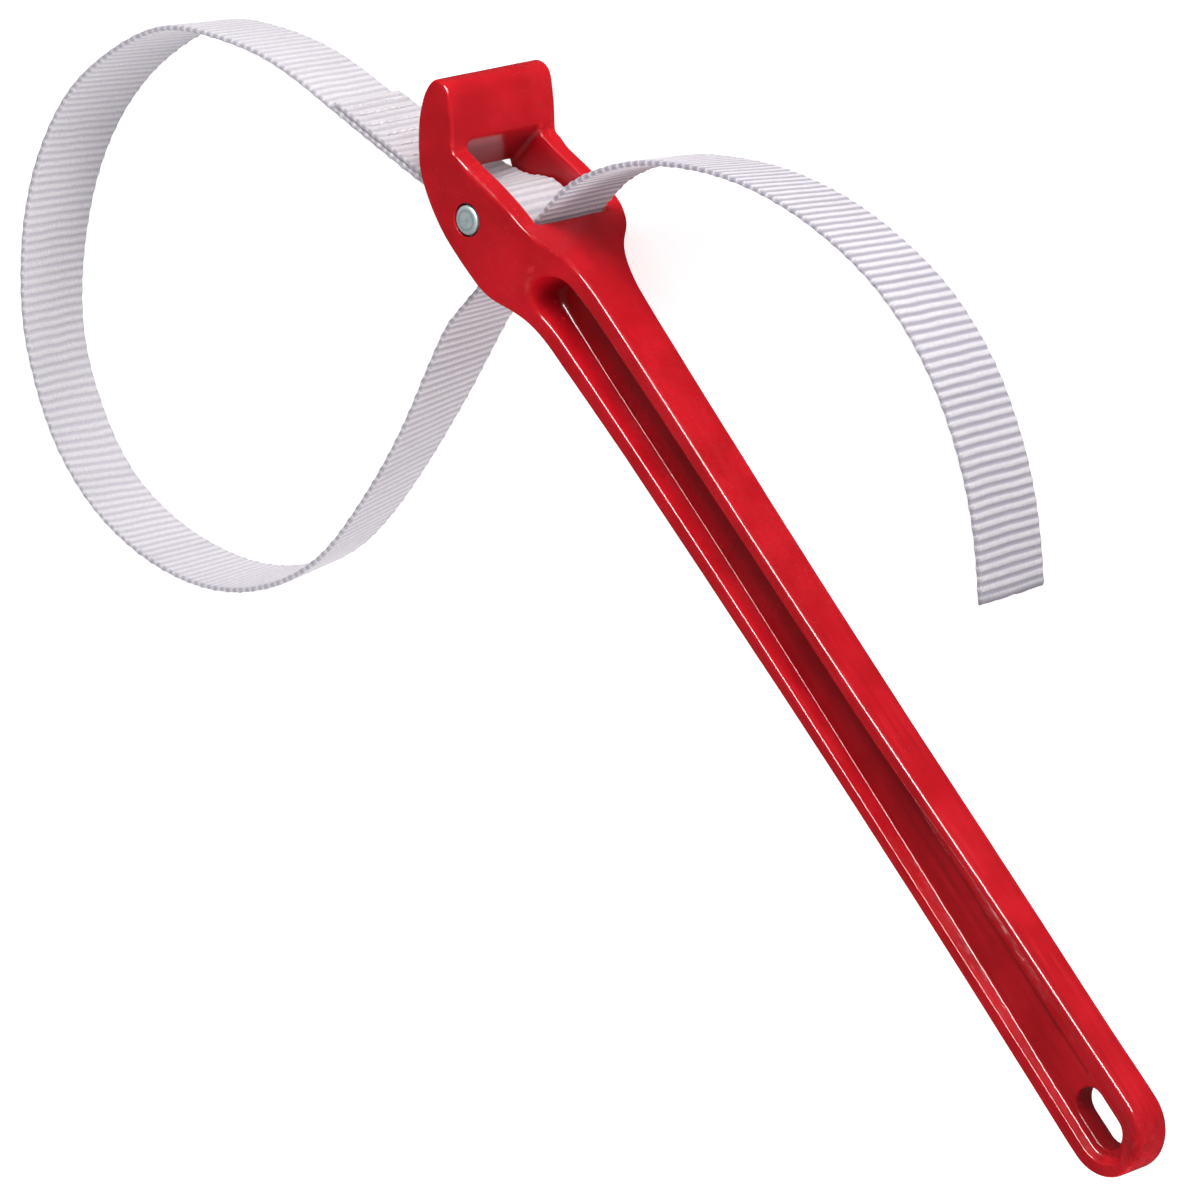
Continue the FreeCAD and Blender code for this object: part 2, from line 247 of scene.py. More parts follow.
HIGH_Y_EDGE = [
    (300.0, 18.3), (280.0, 18.1), (260.0, 17.9), (240.0, 17.6), (220.0, 17.2), (200.0, 16.8),
    (180.0, 16.5), (160.0, 16.3), (140.0, 16.2), (120.0, 16.2), (100.0, 16.4), (80.0, 16.6),
    (60.0, 16.8), (40.0, 17.1), (30.0, 17.6), (22.0, 18.05), (15.0, 18.0), (9.0, 17.4),
    (4.0, 16.5), (-1.0, 15.4), (-6.0, 14.0), (-10.5, 12.75), (-14.6, 11.9)]
JAW = [
    (-16.2, 11.55), (-17.4, 12.05), (-18.8, 13.3), (-20.2, 14.6), (-23.2, 17.3), (-27.6, 20.9),
    (-29.6, 22.2), (-31.6, 22.8), (-33.6, 22.5), (-35.3, 21.5), (-36.3, 20.2)]
RECESS_HIGH_Y = [
    (33.4, 11.4), (60.0, 11.6), (100.0, 11.9), (140.0, 12.2), (170.0, 12.4), (190.0, 12.6),
    (210.0, 13.3), (232.0, 15.0), (254.0, 16.1), (280.0, 16.4), (321.4, 16.4)]
RECESS_LOW_Y = [
    (33.4, -4.0), (60.0, -3.7), (100.0, -3.2), (140.0, -3.0), (180.0, -3.2), (220.0, -3.5),
    (260.0, -3.8), (290.0, -4.1), (321.4, -4.4)]

# stations along the handle: x, then the value named
HALF_WIDTH = [                               # of the casting, in z
    (-60.0, 21.5), (9.0, 21.5), (12.6, 21.45), (15.6, 21.0), (18.4, 20.1), (19.8, 19.5),
    (21.2, 18.65), (22.8, 17.4), (24.2, 16.0), (25.8, 14.5), (27.8, 13.0), (30.0, 11.8),
    (33.0, 10.7), (36.5, 9.9), (41.0, 9.3), (50.0, 8.95), (60.0, 8.7), (80.0, 8.4),
    (100.0, 8.2), (120.0, 8.0), (140.0, 7.8), (160.0, 7.6), (180.0, 7.4), (200.0, 7.15),
    (220.0, 6.95), (240.0, 6.75), (260.0, 6.5), (280.0, 6.3), (300.0, 6.15), (360.0, 6.1)]
WEB_HALF = [                                 # half thickness of the web between the recesses
    (20, 3.2), (34, 2.0), (120, 2.1), (190, 2.7), (235, 3.0), (285, 3.35), (305, 3.5), (340, 3.6)]
LOW_Y_LEAN = [                               # lean of the recess wall on the low-y side
    (20, 0.35), (60, 0.24), (120, 0.24), (150, 0.27), (200, 0.38), (235, 0.48), (285, 0.60),
    (340, 0.64)]
HIGH_Y_LEAN = [                              # and on the high-y side
    (20, 0.35), (60, 0.24), (190, 0.24), (205, 0.45), (225, 1.2), (254, 1.9), (290, 2.3),
    (340, 2.5)]
EDGE_RADIUS = [
    (-40, 0.95), (10, 1.0), (40, 1.35), (120, 1.35), (200, 1.6), (300, 1.7), (340, 1.6)]
FOOT_RADIUS = [                              # where the recess wall meets the web
    (24, 2.2), (36, 1.3), (44, 0.7), (60, 0.42), (170, 0.42), (215, 0.5), (300, 0.6), (340, 0.6)]
LIP_RADIUS = [                               # where the recess opens on the face
    (24, 1.1), (60, 0.9), (170, 0.75), (205, 0.5), (225, 0.28), (340, 0.28)]

WINDOW_X, WINDOW_HALF_X, WINDOW_HALF_Z, WINDOW_CORNER = -1.45, 17.05, 15.0, 1.6
RELIEF_X, RELIEF_Y, RELIEF_RADIUS = -18.7, -4.7, 1.6    # round notch at the window's -x end
HANG_X, HANG_Y, HANG_HALF_STRAIGHT, HANG_RADIUS = 317.7, 4.4, 4.3, 5.15
PIN_HOLE_RADIUS = 4.95


def side_outline():
    tail = arc(TAIL_CENTRE, TAIL_RADIUS, -90, 90, 15).tolist()
    return catmull(LOW_Y_EDGE + tail + HIGH_Y_EDGE + JAW, 5, closed=True)


def recess_end(high, low, start, end, count):
    """Half circle that joins the two long edges of the recess."""
    centre = (high[0], (high[1] + low[1]) / 2)
    return arc(centre, (high[1] - low[1]) / 2, start, end, count)[:-1]


def smooth_half_width(xs):
    """HALF_WIDTH as a curve, averaged over 2 mm."""
    plan = catmull(HALF_WIDTH, 8)
    half = np.interp(xs, plan[:, 0], plan[:, 1])
    padded = np.r_[[half[0]] * 10, half, [half[-1]] * 10]
    return np.convolve(padded, np.ones(21) / 21.0, "valid")


RECESS_HIGH_CURVE = catmull(RECESS_HIGH_Y, 5)
RECESS_LOW_CURVE = catmull(RECESS_LOW_Y, 5)
side_distance = OutlineField(side_outline())
recess_distance = OutlineField(np.vstack([
    RECESS_LOW_CURVE[:-1],
    recess_end(RECESS_HIGH_Y[-1], RECESS_LOW_Y[-1], -90, 90, 26),
    RECESS_HIGH_CURVE[::-1][:-1],
    recess_end(RECESS_HIGH_Y[0], RECESS_LOW_Y[0], 90, 270, 22)]))
WIDTH_X = np.arange(-45, 345, 0.1)
WIDTH_HALF = smooth_half_width(WIDTH_X)
WIDTH_SLOPE = np.gradient(WIDTH_HALF, WIDTH_X)


def half_width(x):
    return np.interp(x, WIDTH_X, WIDTH_HALF)


def hang_hole_distance(x, y):
    return np.hypot(np.maximum(np.abs(x - HANG_X) - HANG_HALF_STRAIGHT, 0), y - HANG_Y) - HANG_RADIUS


def edge_radius(x, y):
    """Rounding between the side outline and the faces."""
    radius = lookup(EDGE_RADIUS, x)
    # tighter on the low-y edge of the handle
    radius = radius + (0.65 - radius) * smoothstep(30, 50, x) * fall(0, 4, y)
    # softer at the tip of the jaw and on the high-y edge beside the pin
    radius = radius + 0.5 * smoothstep(16, 22.5, y) * fall(-26, -18, x)
    return radius + 1.3 * smoothstep(-15, -9, x) * fall(2, 11, x) * smoothstep(6, 9, y)


def window_distance(x, y, from_mid):
    out_x = np.abs(x - WINDOW_X) - (WINDOW_HALF_X - WINDOW_CORNER)
    out_z = from_mid - (WINDOW_HALF_Z - WINDOW_CORNER)
    window = (np.sqrt(np.maximum(out_x, 0) ** 2 + np.maximum(out_z, 0) ** 2)
              + np.minimum(np.maximum(out_x, out_z), 0) - WINDOW_CORNER)
    relief = np.hypot(x - RELIEF_X, y - RELIEF_Y) - RELIEF_RADIUS
    return np.minimum(window, round_max(relief, from_mid - WINDOW_HALF_Z, 0.3))


def recess_cut_distance(x, y, from_mid, half):
    lean = lookup(LOW_Y_LEAN, x)
    lean = lean + (lookup(HIGH_Y_LEAN, x) - lean) * smoothstep(2, 8, y)
    wall = (recess_distance(x, y) + (half - from_mid) * lean) / np.sqrt(1 + lean * lean)
    return round_max(wall, lookup(WEB_HALF, x) - from_mid, lookup(FOOT_RADIUS, x))


def casting_distance(x, y, z):
    """Near-distance to the casting's surface, negative inside; z is from the mid-plane."""
    from_mid = np.abs(z)
    half = half_width(x)
    slope = np.interp(x, WIDTH_X, WIDTH_SLOPE)
    face = (from_mid - half) / np.sqrt(1 + slope * slope)
    body = round_max(side_distance(x, y), face, edge_radius(x, y))
    body = round_max(body, -window_distance(x, y, from_mid), 0.75)
    body = round_max(body, -recess_cut_distance(x, y, from_mid, half), lookup(LIP_RADIUS, x))
    body = round_max(body, -hang_hole_distance(x, y), 0.8)
    return round_max(body, -(np.hypot(x - PIN_X, y - PIN_Y) - PIN_HOLE_RADIUS), 0.2)


# ---------------------------------------------------------------------------
# casting: grid and skin
# ---------------------------------------------------------------------------
GRID_STEP = 0.47
GRID_LEVEL_X = (41.0, 300.0)                 # the grid follows the handle between these


def grid_lines(start, stop, marks):
    """Lines a GRID_STEP apart, closer round marks of (place, below, above, spacing)."""
    out = [start]
    while out[-1] < stop:
        step = GRID_STEP
        for place, below, above, spacing in marks:
            if place - below - 0.2 < out[-1] < place + above:
                step = min(step, spacing)
        out.append(out[-1] + step)
    return np.array(out)


def high_y_foot(x, half, web):
    """y where the high-y wall of the recess meets the web."""
    return lookup(RECESS_HIGH_CURVE, x) - (half - web) * lookup(HIGH_Y_LEAN, x)


def grid_levels(x):
    """y and z of the features that the grid lines follow, at each x."""
    x = np.clip(x, *GRID_LEVEL_X)
    half = half_width(x)
    web = lookup(WEB_HALF, x)
    low = lookup(RECESS_LOW_CURVE, x)
    y_levels = [
        np.full_like(x, -11.6),
        lookup(LOW_Y_EDGE[-18:], x),         # the part that runs along the handle
        low,
        low + (half - web) * lookup(LOW_Y_LEAN, x),
        high_y_foot(x, half, web),
        lookup(RECESS_HIGH_CURVE, x),
        lookup(HIGH_Y_EDGE[::-1], x),
        np.full_like(x, 24.6)]
    z_levels = [np.zeros_like(x), web, half, np.full_like(x, 22.8)]
    return np.stack(y_levels, -1), np.stack(z_levels, -1)


def casting_grid():
    """Grid x, then y and positive z at each x. The grid leans with the handle, so that its
    lines run along the rims and the foot of the recess instead of across them."""
    y_home, z_home = (levels[0] for levels in grid_levels(np.array([GRID_LEVEL_X[0]])))
    _, rim_low, lip_low, foot_low, foot_high, lip_high, rim_high, _ = y_home
    _, web, face, _ = z_home
    xs = np.r_[np.arange(-38.6, 46, GRID_STEP), np.arange(46, 200, 1.4),
               np.arange(200, 337, GRID_STEP)]
    ys = grid_lines(-11.4, 24.4, [
        (rim_low, 0.4, 0.9, 0.3), (lip_low, 0.8, 0.8, 0.25), (foot_low, 0.7, 0.7, 0.25),
        (foot_high, 0.4, 0.4, 0.35), (lip_high, 0.8, 0.8, 0.25), (rim_high, 1.5, 0.3, 0.3)])
    zs = grid_lines(GRID_STEP / 2, 22.6, [(web, 0.3, 1.2, 0.25), (face, 1.6, 0.3, 0.3)])
    y_levels, z_levels = grid_levels(xs)
    grid_y = np.stack([np.interp(ys, y_home, levels) for levels in y_levels])
    grid_z = np.stack([np.interp(zs, z_home, levels) for levels in z_levels])
    return xs, grid_y, grid_z


def sample_casting(xs, grid_y, grid_z):
    """Distances on the grid: the +z half is sampled and mirrored."""
    shape = (len(xs), grid_y.shape[1], grid_z.shape[1])
    x = np.broadcast_to(xs[:, None, None], shape)
    y = np.broadcast_to(grid_y[:, :, None], shape)
    z = np.broadcast_to(grid_z[:, None, :], shape)
    half = casting_distance(x.ravel(), y.ravel(), z.ravel()).reshape(shape)
    return np.concatenate([half[:, :, ::-1], half], 2)


CORNERS = [(a, b, c) for a in (0, 1) for b in (0, 1) for c in (0, 1)]


def net_points(field, cells, place):
    """One point per cell: the mean of the surface crossings on its edges."""
    points = np.zeros((len(cells), 3))
    crossings = np.zeros(len(cells))
    for corner in CORNERS:
        for axis in range(3):
            if corner[axis] == 1:
                continue
            start = cells + np.array(corner)
            end = start.copy()
            end[:, axis] += 1
            at_start = field[tuple(start.T)]
            at_end = field[tuple(end.T)]
            hit = (at_start < 0) != (at_end < 0)
            t = (at_start[hit] / (at_start[hit] - at_end[hit]))[:, None]
            points[hit] += place(start[hit]) * (1 - t) + place(end[hit]) * t
            crossings[hit] += 1
    return points / crossings[:, None]


def net_quads(solid, index):
    """A quad round every grid edge that crosses the surface."""
    quads = []
    for axis, (u, v) in enumerate([(1, 2), (2, 0), (0, 1)]):
        low = [slice(None)] * 3
        high = [slice(None)] * 3
        low[axis] = slice(0, -1)
        high[axis] = slice(1, None)
        edges = np.argwhere(solid[tuple(low)] != solid[tuple(high)])
        within = ((edges[:, u] > 0) & (edges[:, v] > 0)
                  & (edges[:, u] < solid.shape[u] - 1) & (edges[:, v] < solid.shape[v] - 1))
        edges = edges[within]
        leaves_solid = solid[tuple(edges.T)]
        ring = []
        for step_u, step_v in ((-1, -1), (0, -1), (0, 0), (-1, 0)):
            cell = edges.copy()
            cell[:, u] += step_u
            cell[:, v] += step_v
            ring.append(index[tuple(cell.T)])
        ring = np.stack(ring, 1)
        ring[~leaves_solid] = ring[~leaves_solid][:, ::-1]
        quads.append(ring)
    return np.vstack(quads)


def surface_net(field, place):
    """Points and quads of the zero surface; place turns grid indices into positions."""
    solid = field < 0
    nx, ny, nz = shape = [size - 1 for size in field.shape]
    solid_corners = np.zeros(shape, np.int8)
    for a, b, c in CORNERS:
        solid_corners += solid[a:a + nx, b:b + ny, c:c + nz]
    active = (solid_corners > 0) & (solid_corners < 8)
    cells = np.argwhere(active)
    index = np.full(shape, -1, np.int64)
    index[active] = np.arange(len(cells))
    return net_points(field, cells, place), net_quads(solid, index)


def lump_mask(points, normals):
    """Where the sand-cast lumps show: low in the recess and along its high-y lip, near the tail."""
    x, y, _ = points.T
    low = (smoothstep(150, 250, x) * smoothstep(-5.6, -3.4, y) * fall(1.2, 3.0, y)
           * smoothstep(0.15, 0.6, normals[:, 1]))
    return low + (0.8 * smoothstep(225, 250, x) * fall(318, 326, x) * smoothstep(14.6, 15.6, y)
                  * fall(16.8, 17.6, y) * smoothstep(0.3, 0.6, np.abs(normals[:, 2])))


def painted_shade_in_hollows(points):
    """How much painted shade each point gets: in the recess, more with depth, inside the window, in
    the hang hole and along the foot of the high-y wall.
    """
    x, y, z = points.T
    from_mid = np.abs(z)
    half = half_width(x)
    # painted shade in the recess, more with depth
    shade_amount = (0.8 * smoothstep(0.6, 4.0, half - from_mid) * smoothstep(20, 24, x)
            * fall(-1.6, -1.1, side_distance(x, y)))
    window = np.maximum(np.abs(x - WINDOW_X) - WINDOW_HALF_X, from_mid - WINDOW_HALF_Z)
    below_edge = lookup(HIGH_Y_EDGE[::-1], x) - y
    # painted shade inside the window
    shade_amount = shade_amount + smoothstep(0.6, 4.5, below_edge) * fall(0.2, 0.7, window) * (x < 20)
    shade_amount = shade_amount * (1 - 0.5 * smoothstep(190, 260, x))
    # painted shade: a dark line along the foot of the high-y wall
    foot = high_y_foot(x, half, lookup(WEB_HALF, x))
    shade_amount = shade_amount + (0.9 * np.exp(-((y - foot) / 0.45) ** 2) * smoothstep(185, 215, x)
                   * (x < 306) * (from_mid < half - 1))
    # painted shade in the hang hole
    shade_amount = shade_amount + 1.2 * fall(0.1, 0.6, hang_hole_distance(x, y)) * (x > 290)
    return np.clip(shade_amount, 0, 1.8).astype(np.float32)


def build_casting():
    xs, grid_y, grid_z = casting_grid()
    field = sample_casting(xs, grid_y, grid_z)
    both_z = np.concatenate([-grid_z[:, ::-1], grid_z], 1)

    def place(cell):
        i, j, k = cell.T
        return np.stack([xs[i], grid_y[i, j], both_z[i, k]], 1)

    def distance(at):
        return casting_distance(*at.T)

    points, quads = surface_net(field, place)
    for _ in range(4):                       # settle the points on the true surface
        away = distance(points)
        slope = gradient(distance, points, 0.06)
        slope_sq = np.maximum((slope * slope).sum(1), 0.05)
        points -= slope * np.clip(away / slope_sq, -0.3, 0.3)[:, None]
    normals = unit(gradient(distance, points, 0.12))
    lumpy = lump_mask(points, normals)

    def relief(at):
        """Slow waves of a painted casting, and the coarse lumps."""
        waves = 0.018 * noise(*at.T, scale=9.0, seed=1) + 0.010 * noise(*at.T, scale=2.6, seed=2)
        lumps = 0.09 * noise(*at.T, scale=2.4, seed=3) + 0.04 * noise(*at.T, scale=1.3, seed=4)
        return waves + lumpy * lumps

    tilt = gradient(relief, points, 0.1)
    tilt -= normals * (tilt * normals).sum(1)[:, None]
    verts = points + normals * relief(points)[:, None] + np.array((*OFFSET, MID))
    ob = mesh_object("handle_casting_finish", verts, quads, normals=unit(normals - tilt))
    # the amount of painted shade at each point, read by the paint shader
    attribute = ob.data.attributes.new("shade_amount", "FLOAT", "POINT")
    attribute.data.foreach_set("value", painted_shade_in_hollows(points))
    return ob


casting = build_casting()
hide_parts("handle_casting")
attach(casting, "handle")

# ---------------------------------------------------------------------------
# anchor pin: turned, its +z end lightly dished, both ends broken at the edge
# ---------------------------------------------------------------------------
PIN_SEGMENTS = 72
# radius, distance in from the +z end
PIN_TOP = [
    (0.0, 0.20), (0.55, 0.19), (0.9, 0.15), (1.5, 0.13), (2.3, 0.09), (2.9, 0.03), (3.3, 0.0),
    (3.65, 0.02), (3.95, 0.12), (4.18, 0.30), (4.33, 0.5), (4.38, 0.8), (4.4, 1.4), (4.4, 6.0),
    (4.4, 12.0)]
# radius, distance in from the -z end
PIN_BOTTOM = [
    (4.4, 12), (4.4, 6), (4.4, 1.4), (4.38, 0.6), (4.3, 0.3), (4.1, 0.1), (3.8, 0.02), (3.0, 0.0),
    (1.5, 0.01), (0.0, 0.03)]


def build_pin():
    low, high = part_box("anchor_pin")
    bottom, top = low.z / MM, high.z / MM
    profile = [(radius, top - depth) for radius, depth in PIN_TOP]
    profile += [(radius, bottom + depth) for radius, depth in PIN_BOTTOM]
    n = PIN_SEGMENTS
    verts = [(0, 0, profile[0][1])]
    rings = []
    for radius, z in profile[1:-1]:
        rings.append(len(verts))
        at_top_edge = radius > 4.1 and z > top - 0.5
        for i in range(n):
            angle = 2 * math.pi * i / n
            # the broken edge is slightly out of round
            uneven = 1 + 0.004 * math.sin(3 * angle + 1.0) if at_top_edge else 1
            verts.append((radius * uneven * math.cos(angle), radius * uneven * math.sin(angle), z))
    last = len(verts)
    verts.append((0, 0, profile[-1][1]))
    tris = [(0, rings[0] + i, rings[0] + (i + 1) % n) for i in range(n)]
    tris += [(last, rings[-1] + (i + 1) % n, rings[-1] + i) for i in range(n)]
    quads = []
    for a, b in zip(rings[:-1], rings[1:]):
        for i in range(n):
            j = (i + 1) % n
            quads.append((a + i, b + i, b + j, a + j))
    return mesh_object("anchor_pin_finish", verts, quads, tris=tris)


pin = build_pin()
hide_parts("anchor_pin")
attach(pin, "handle")

# ---------------------------------------------------------------------------
# strap: its path in x, y, from the sewn end round the pin, the loop and on to the tail
# ---------------------------------------------------------------------------
RIB_PITCH = 2.85
HALF_THICK = 1.0
HALF_WIDE = 14.0
LAP = np.array((-0.92848, -0.37139))         # direction of the sewn lap, away from the pin
LAP_NORMAL = np.array((-0.37139, 0.92848))
LAP_LENGTH = 45.8
EYE_OUTLINE = [                              # outer face of the webbing round the pin
    (-18.5, -7.15), (-14.6, -4.9), (-11.4, -1.6), (-8.2, 2.9), (-4.4, 7.1), (-0.2, 9.2),
    (4.2, 9.6), (8.0, 8.1), (10.4, 4.8), (11.2, 0.6), (10.5, -3.6), (7.8, -6.9), (3.4, -8.9),
    (-2.2, -9.9), (-9.0, -10.6), (-16.98, -10.85)]
LAP_ORIGIN = np.array(EYE_OUTLINE[0])
LOOP_STEP = 12.248                           # strap length between loop points
LOOP_POINTS = [
    (-59.9, -26.93), (-71.34, -31.29), (-82.54, -36.23), (-93.11, -42.4), (-102.89, -49.75),
    (-112.08, -57.84), (-119.98, -67.17), (-125.46, -78.08), (-128.98, -89.8), (-131.29, -101.82),
    (-132.07, -114.03), (-131.02, -126.22), (-128.34, -138.16), (-124.17, -149.66),
    (-118.57, -160.54), (-111.76, -170.71), (-103.87, -180.07), (-94.87, -188.35),
    (-84.53, -194.87), (-73.3, -199.73), (-61.53, -203.07), (-49.37, -204.31), (-37.19, -203.19),
    (-25.41, -199.89), (-14.24, -194.9), (-3.83, -188.48), (5.67, -180.76), (13.85, -171.67),
    (20.52, -161.42), (25.58, -150.28), (28.87, -138.5), (30.17, -126.34), (29.82, -114.11),
    (28.59, -101.92), (26.87, -89.8), (24.67, -77.76), (22.05, -65.8), (18.99, -53.94),
    (15.94, -42.08), (14.0, -30.0)]
TAIL_POINTS = [
    (14.0, 27.0), (15.9, 38.6), (20.4, 49.6), (27.0, 60.6), (35.6, 71.0), (46.0, 81.2),
    (58.2, 90.4), (71.0, 97.7), (84.5, 103.3), (98.0, 107.2), (111.5, 109.2), (125.0, 109.0),
    (138.0, 106.9), (150.5, 103.0), (162.0, 98.0), (172.5, 92.0), (182.0, 85.2), (190.6, 78.0)]
TAIL_END_DIRECTION = (0.74, -0.672)
# How far the +z edge is displaced from the centre line; the -z edge goes the other way.
# loop point number, x, y
LOOP_LEAD = np.array([
    (0, 0.3, 0.7), (3, -0.3, 0.7), (6, -0.8, 0.4), (10, -1.3, 0.0), (14, -0.2, 0.8),
    (18, 1.35, 2.3), (21, 0.2, 2.5), (25, 0.2, 0.3), (28, 1.1, -0.6), (31, 2.4, 0.0),
    (34, 2.3, 0.0), (36, 2.2, 0.0), (38, 1.9, 0.0), (39, 1.5, 0.0)], float)
# place along the tail in seventeenths of its length, x, y
TAIL_LEAD = np.array([
    (0, 0, 0), (2, -0.7, 0.5), (4, -1.1, 0.9), (6, -0.8, 1.2), (9, -0.2, 1.2), (12, 0.2, 0.6),
    (17, 0.3, 0.2)], float)


def spline(knots, points, start_slope, end_slope, where):
    """Clamped cubic spline through points at knots, sampled at where."""
    knots = np.asarray(knots, float)
    points = np.asarray(points, float)
    n = len(knots)
    gap = np.diff(knots)
    matrix = np.zeros((n, n))
    right = np.zeros((n, 2))
    matrix[0, 0] = matrix[-1, -1] = 1
    right[0], right[-1] = start_slope, end_slope
    for i in range(1, n - 1):
        matrix[i, i - 1] = gap[i]
        matrix[i, i] = 2 * (gap[i] + gap[i - 1])
        matrix[i, i + 1] = gap[i - 1]
        right[i] = 3 * (gap[i] * (points[i] - points[i - 1]) / gap[i - 1]
                        + gap[i - 1] * (points[i + 1] - points[i]) / gap[i])
    slopes = np.linalg.solve(matrix, right)
    k = np.clip(np.searchsorted(knots, where, side="right") - 1, 0, n - 2)
    u = ((where - knots[k]) / gap[k])[:, None]
    width = gap[k][:, None]
    return ((2 * u ** 3 - 3 * u ** 2 + 1) * points[k]
            + (u ** 3 - 2 * u ** 2 + u) * width * slopes[k]
            + (-2 * u ** 3 + 3 * u ** 2) * points[k + 1]
            + (u ** 3 - u ** 2) * width * slopes[k + 1])


def running_length(points):
    return np.r_[0, np.cumsum(np.linalg.norm(np.diff(points, axis=0), axis=1))]


def straight(start, end, count):
    """Points from start up to, but not including, end."""
    return start + (end - start) * np.linspace(0, 1, count, endpoint=False)[:, None]


def path_segments():
    """The lap's first layer, the eye, the second layer, the loop, the strand and the tail."""
    knots = running_length(EYE_OUTLINE)
    outer = spline(knots, EYE_OUTLINE, -LAP, LAP, np.linspace(0, knots[-1], 320))
    heading = unit(np.gradient(outer, axis=0))
    eye = outer + HALF_THICK * np.c_[heading[:, 1], -heading[:, 0]]
    eye_start = LAP_ORIGIN - HALF_THICK * LAP_NORMAL
    loop_knots = np.arange(len(LOOP_POINTS)) * LOOP_STEP
    tail_knots = running_length(TAIL_POINTS)
    return [
        straight(eye_start + LAP * LAP_LENGTH, eye_start, 200),
        eye,
        straight(eye[-1], np.array(LOOP_POINTS[0]), 200)[1:],
        spline(loop_knots, LOOP_POINTS, LAP, (0, 1),
               np.linspace(0, loop_knots[-1], 2400, endpoint=False)),
        straight(np.array(LOOP_POINTS[-1]), np.array(TAIL_POINTS[0]), 240),
        spline(tail_knots, TAIL_POINTS, (0, 1), TAIL_END_DIRECTION,
               np.linspace(0, tail_knots[-1], 1200))]


segments = path_segments()
path = np.vstack(segments)
path_length = running_length(path)
joins = np.cumsum([len(segment) for segment in segments])
# places along the strap, as length from its sewn end
EYE_START = path_length[joins[0]]
EYE_END = path_length[joins[1] - 1]
LOOP_START = path_length[joins[2]]
STRAND_START = path_length[joins[3]]
TAIL_START = path_length[joins[4]]
STRAP_END = path_length[-1]
distinct = np.r_[True, np.linalg.norm(np.diff(path, axis=0), axis=1) > 1e-4]
PATH = path[distinct] + OFFSET
PATH_LENGTH = path_length[distinct]


def interp_pair(where, known, pairs):
    return np.c_[np.interp(where, known, pairs[:, 0]), np.interp(where, known, pairs[:, 1])]


def path_at(s):
    return interp_pair(s, PATH_LENGTH, PATH)


def heading_at(s, reach=0.9):
    return unit(path_at(np.minimum(s + reach, STRAP_END)) - path_at(np.maximum(s - reach, 0)))


def edge_lead(s):
    """x, y displacement of the +z edge along the strap."""
    out = np.zeros((len(s), 2))
    loop = (s >= LOOP_START) & (s <= STRAND_START)
    point_number = (s - LOOP_START) / LOOP_STEP
    out[loop] = interp_pair(point_number[loop], LOOP_LEAD[:, 0], LOOP_LEAD[:, 1:])
    # within the lap both layers lean together
    lap = (s < EYE_START) | ((s > EYE_END) & (s < LOOP_START))
    from_eye = np.where(s < EYE_START, EYE_START - s, s - EYE_END)
    weight = np.clip(from_eye / LAP_LENGTH, 0, 1) ** 2
    out[lap] += weight[lap][:, None] * LOOP_LEAD[0, 1:]
    strand = (s > STRAND_START) & (s <= TAIL_START)
    out[strand, 0] = LOOP_LEAD[-1, 1] * (1 - np.clip((s[strand] - STRAND_START) / 30.0, 0, 1))
    tail = s > TAIL_START
    station = (s - TAIL_START) / (STRAP_END - TAIL_START) * TAIL_LEAD[-1, 0]
    out[tail] = interp_pair(station[tail], TAIL_LEAD[:, 0], TAIL_LEAD[:, 1:])
    # the strand stands square by the time it can be drawn into the window
    before_tail = s < TAIL_START - 20
    out[:, 0] *= 1 - 0.74 * smoothstep(-60.0, 1.0, s - STRAND_START) * before_tail
    # smoothed past the lap, so that it has no corners
    kernel = np.hanning(19)
    kernel /= kernel.sum()
    past_lap = s > LOOP_START + 1
    for c in (0, 1):
        padded = np.r_[[out[0, c]] * 9, out[:, c], [out[-1, c]] * 9]
        out[past_lap, c] = np.convolve(padded, kernel, "valid")[past_lap]
    return out


LEAD_S = np.arange(0, STRAP_END + 1, 1.0)
LEAD = edge_lead(LEAD_S)

# ---------------------------------------------------------------------------
# strap: ribbed webbing
# ---------------------------------------------------------------------------
# mesh rows within one rib, as parts of its pitch
RIB_ROWS = [0.0, 0.06, 0.14, 0.26, 0.42, 0.58, 0.74, 0.86, 0.94]
HALF_COLUMNS = np.array([2.4, 4.8, 7.2, 9.5, 11.4, 12.5, 13.1, 13.55, 13.86, HALF_WIDE])
COLUMNS = np.r_[-HALF_COLUMNS[::-1], 0, HALF_COLUMNS]    # mesh columns, z from the mid-plane
RIB_DEPTH = 0.36


def strip_rows(start, end, cut_start, cut_end):
    """Places of the mesh rows, with extra rows close to a cut end."""
    first, last = int(math.floor(start / RIB_PITCH)) - 1, int(math.ceil(end / RIB_PITCH)) + 1
    rows = np.array([(k + part) * RIB_PITCH for k in range(first, last) for part in RIB_ROWS])
    rows = rows[(rows > start + 0.04) & (rows < end - 0.04)]
    extra = []
    for step in (0.12, 0.35, 0.8):
        extra += [start + step] * cut_start + [end - step] * cut_end
    return np.unique(np.round(np.r_[start, rows, end, extra], 4))


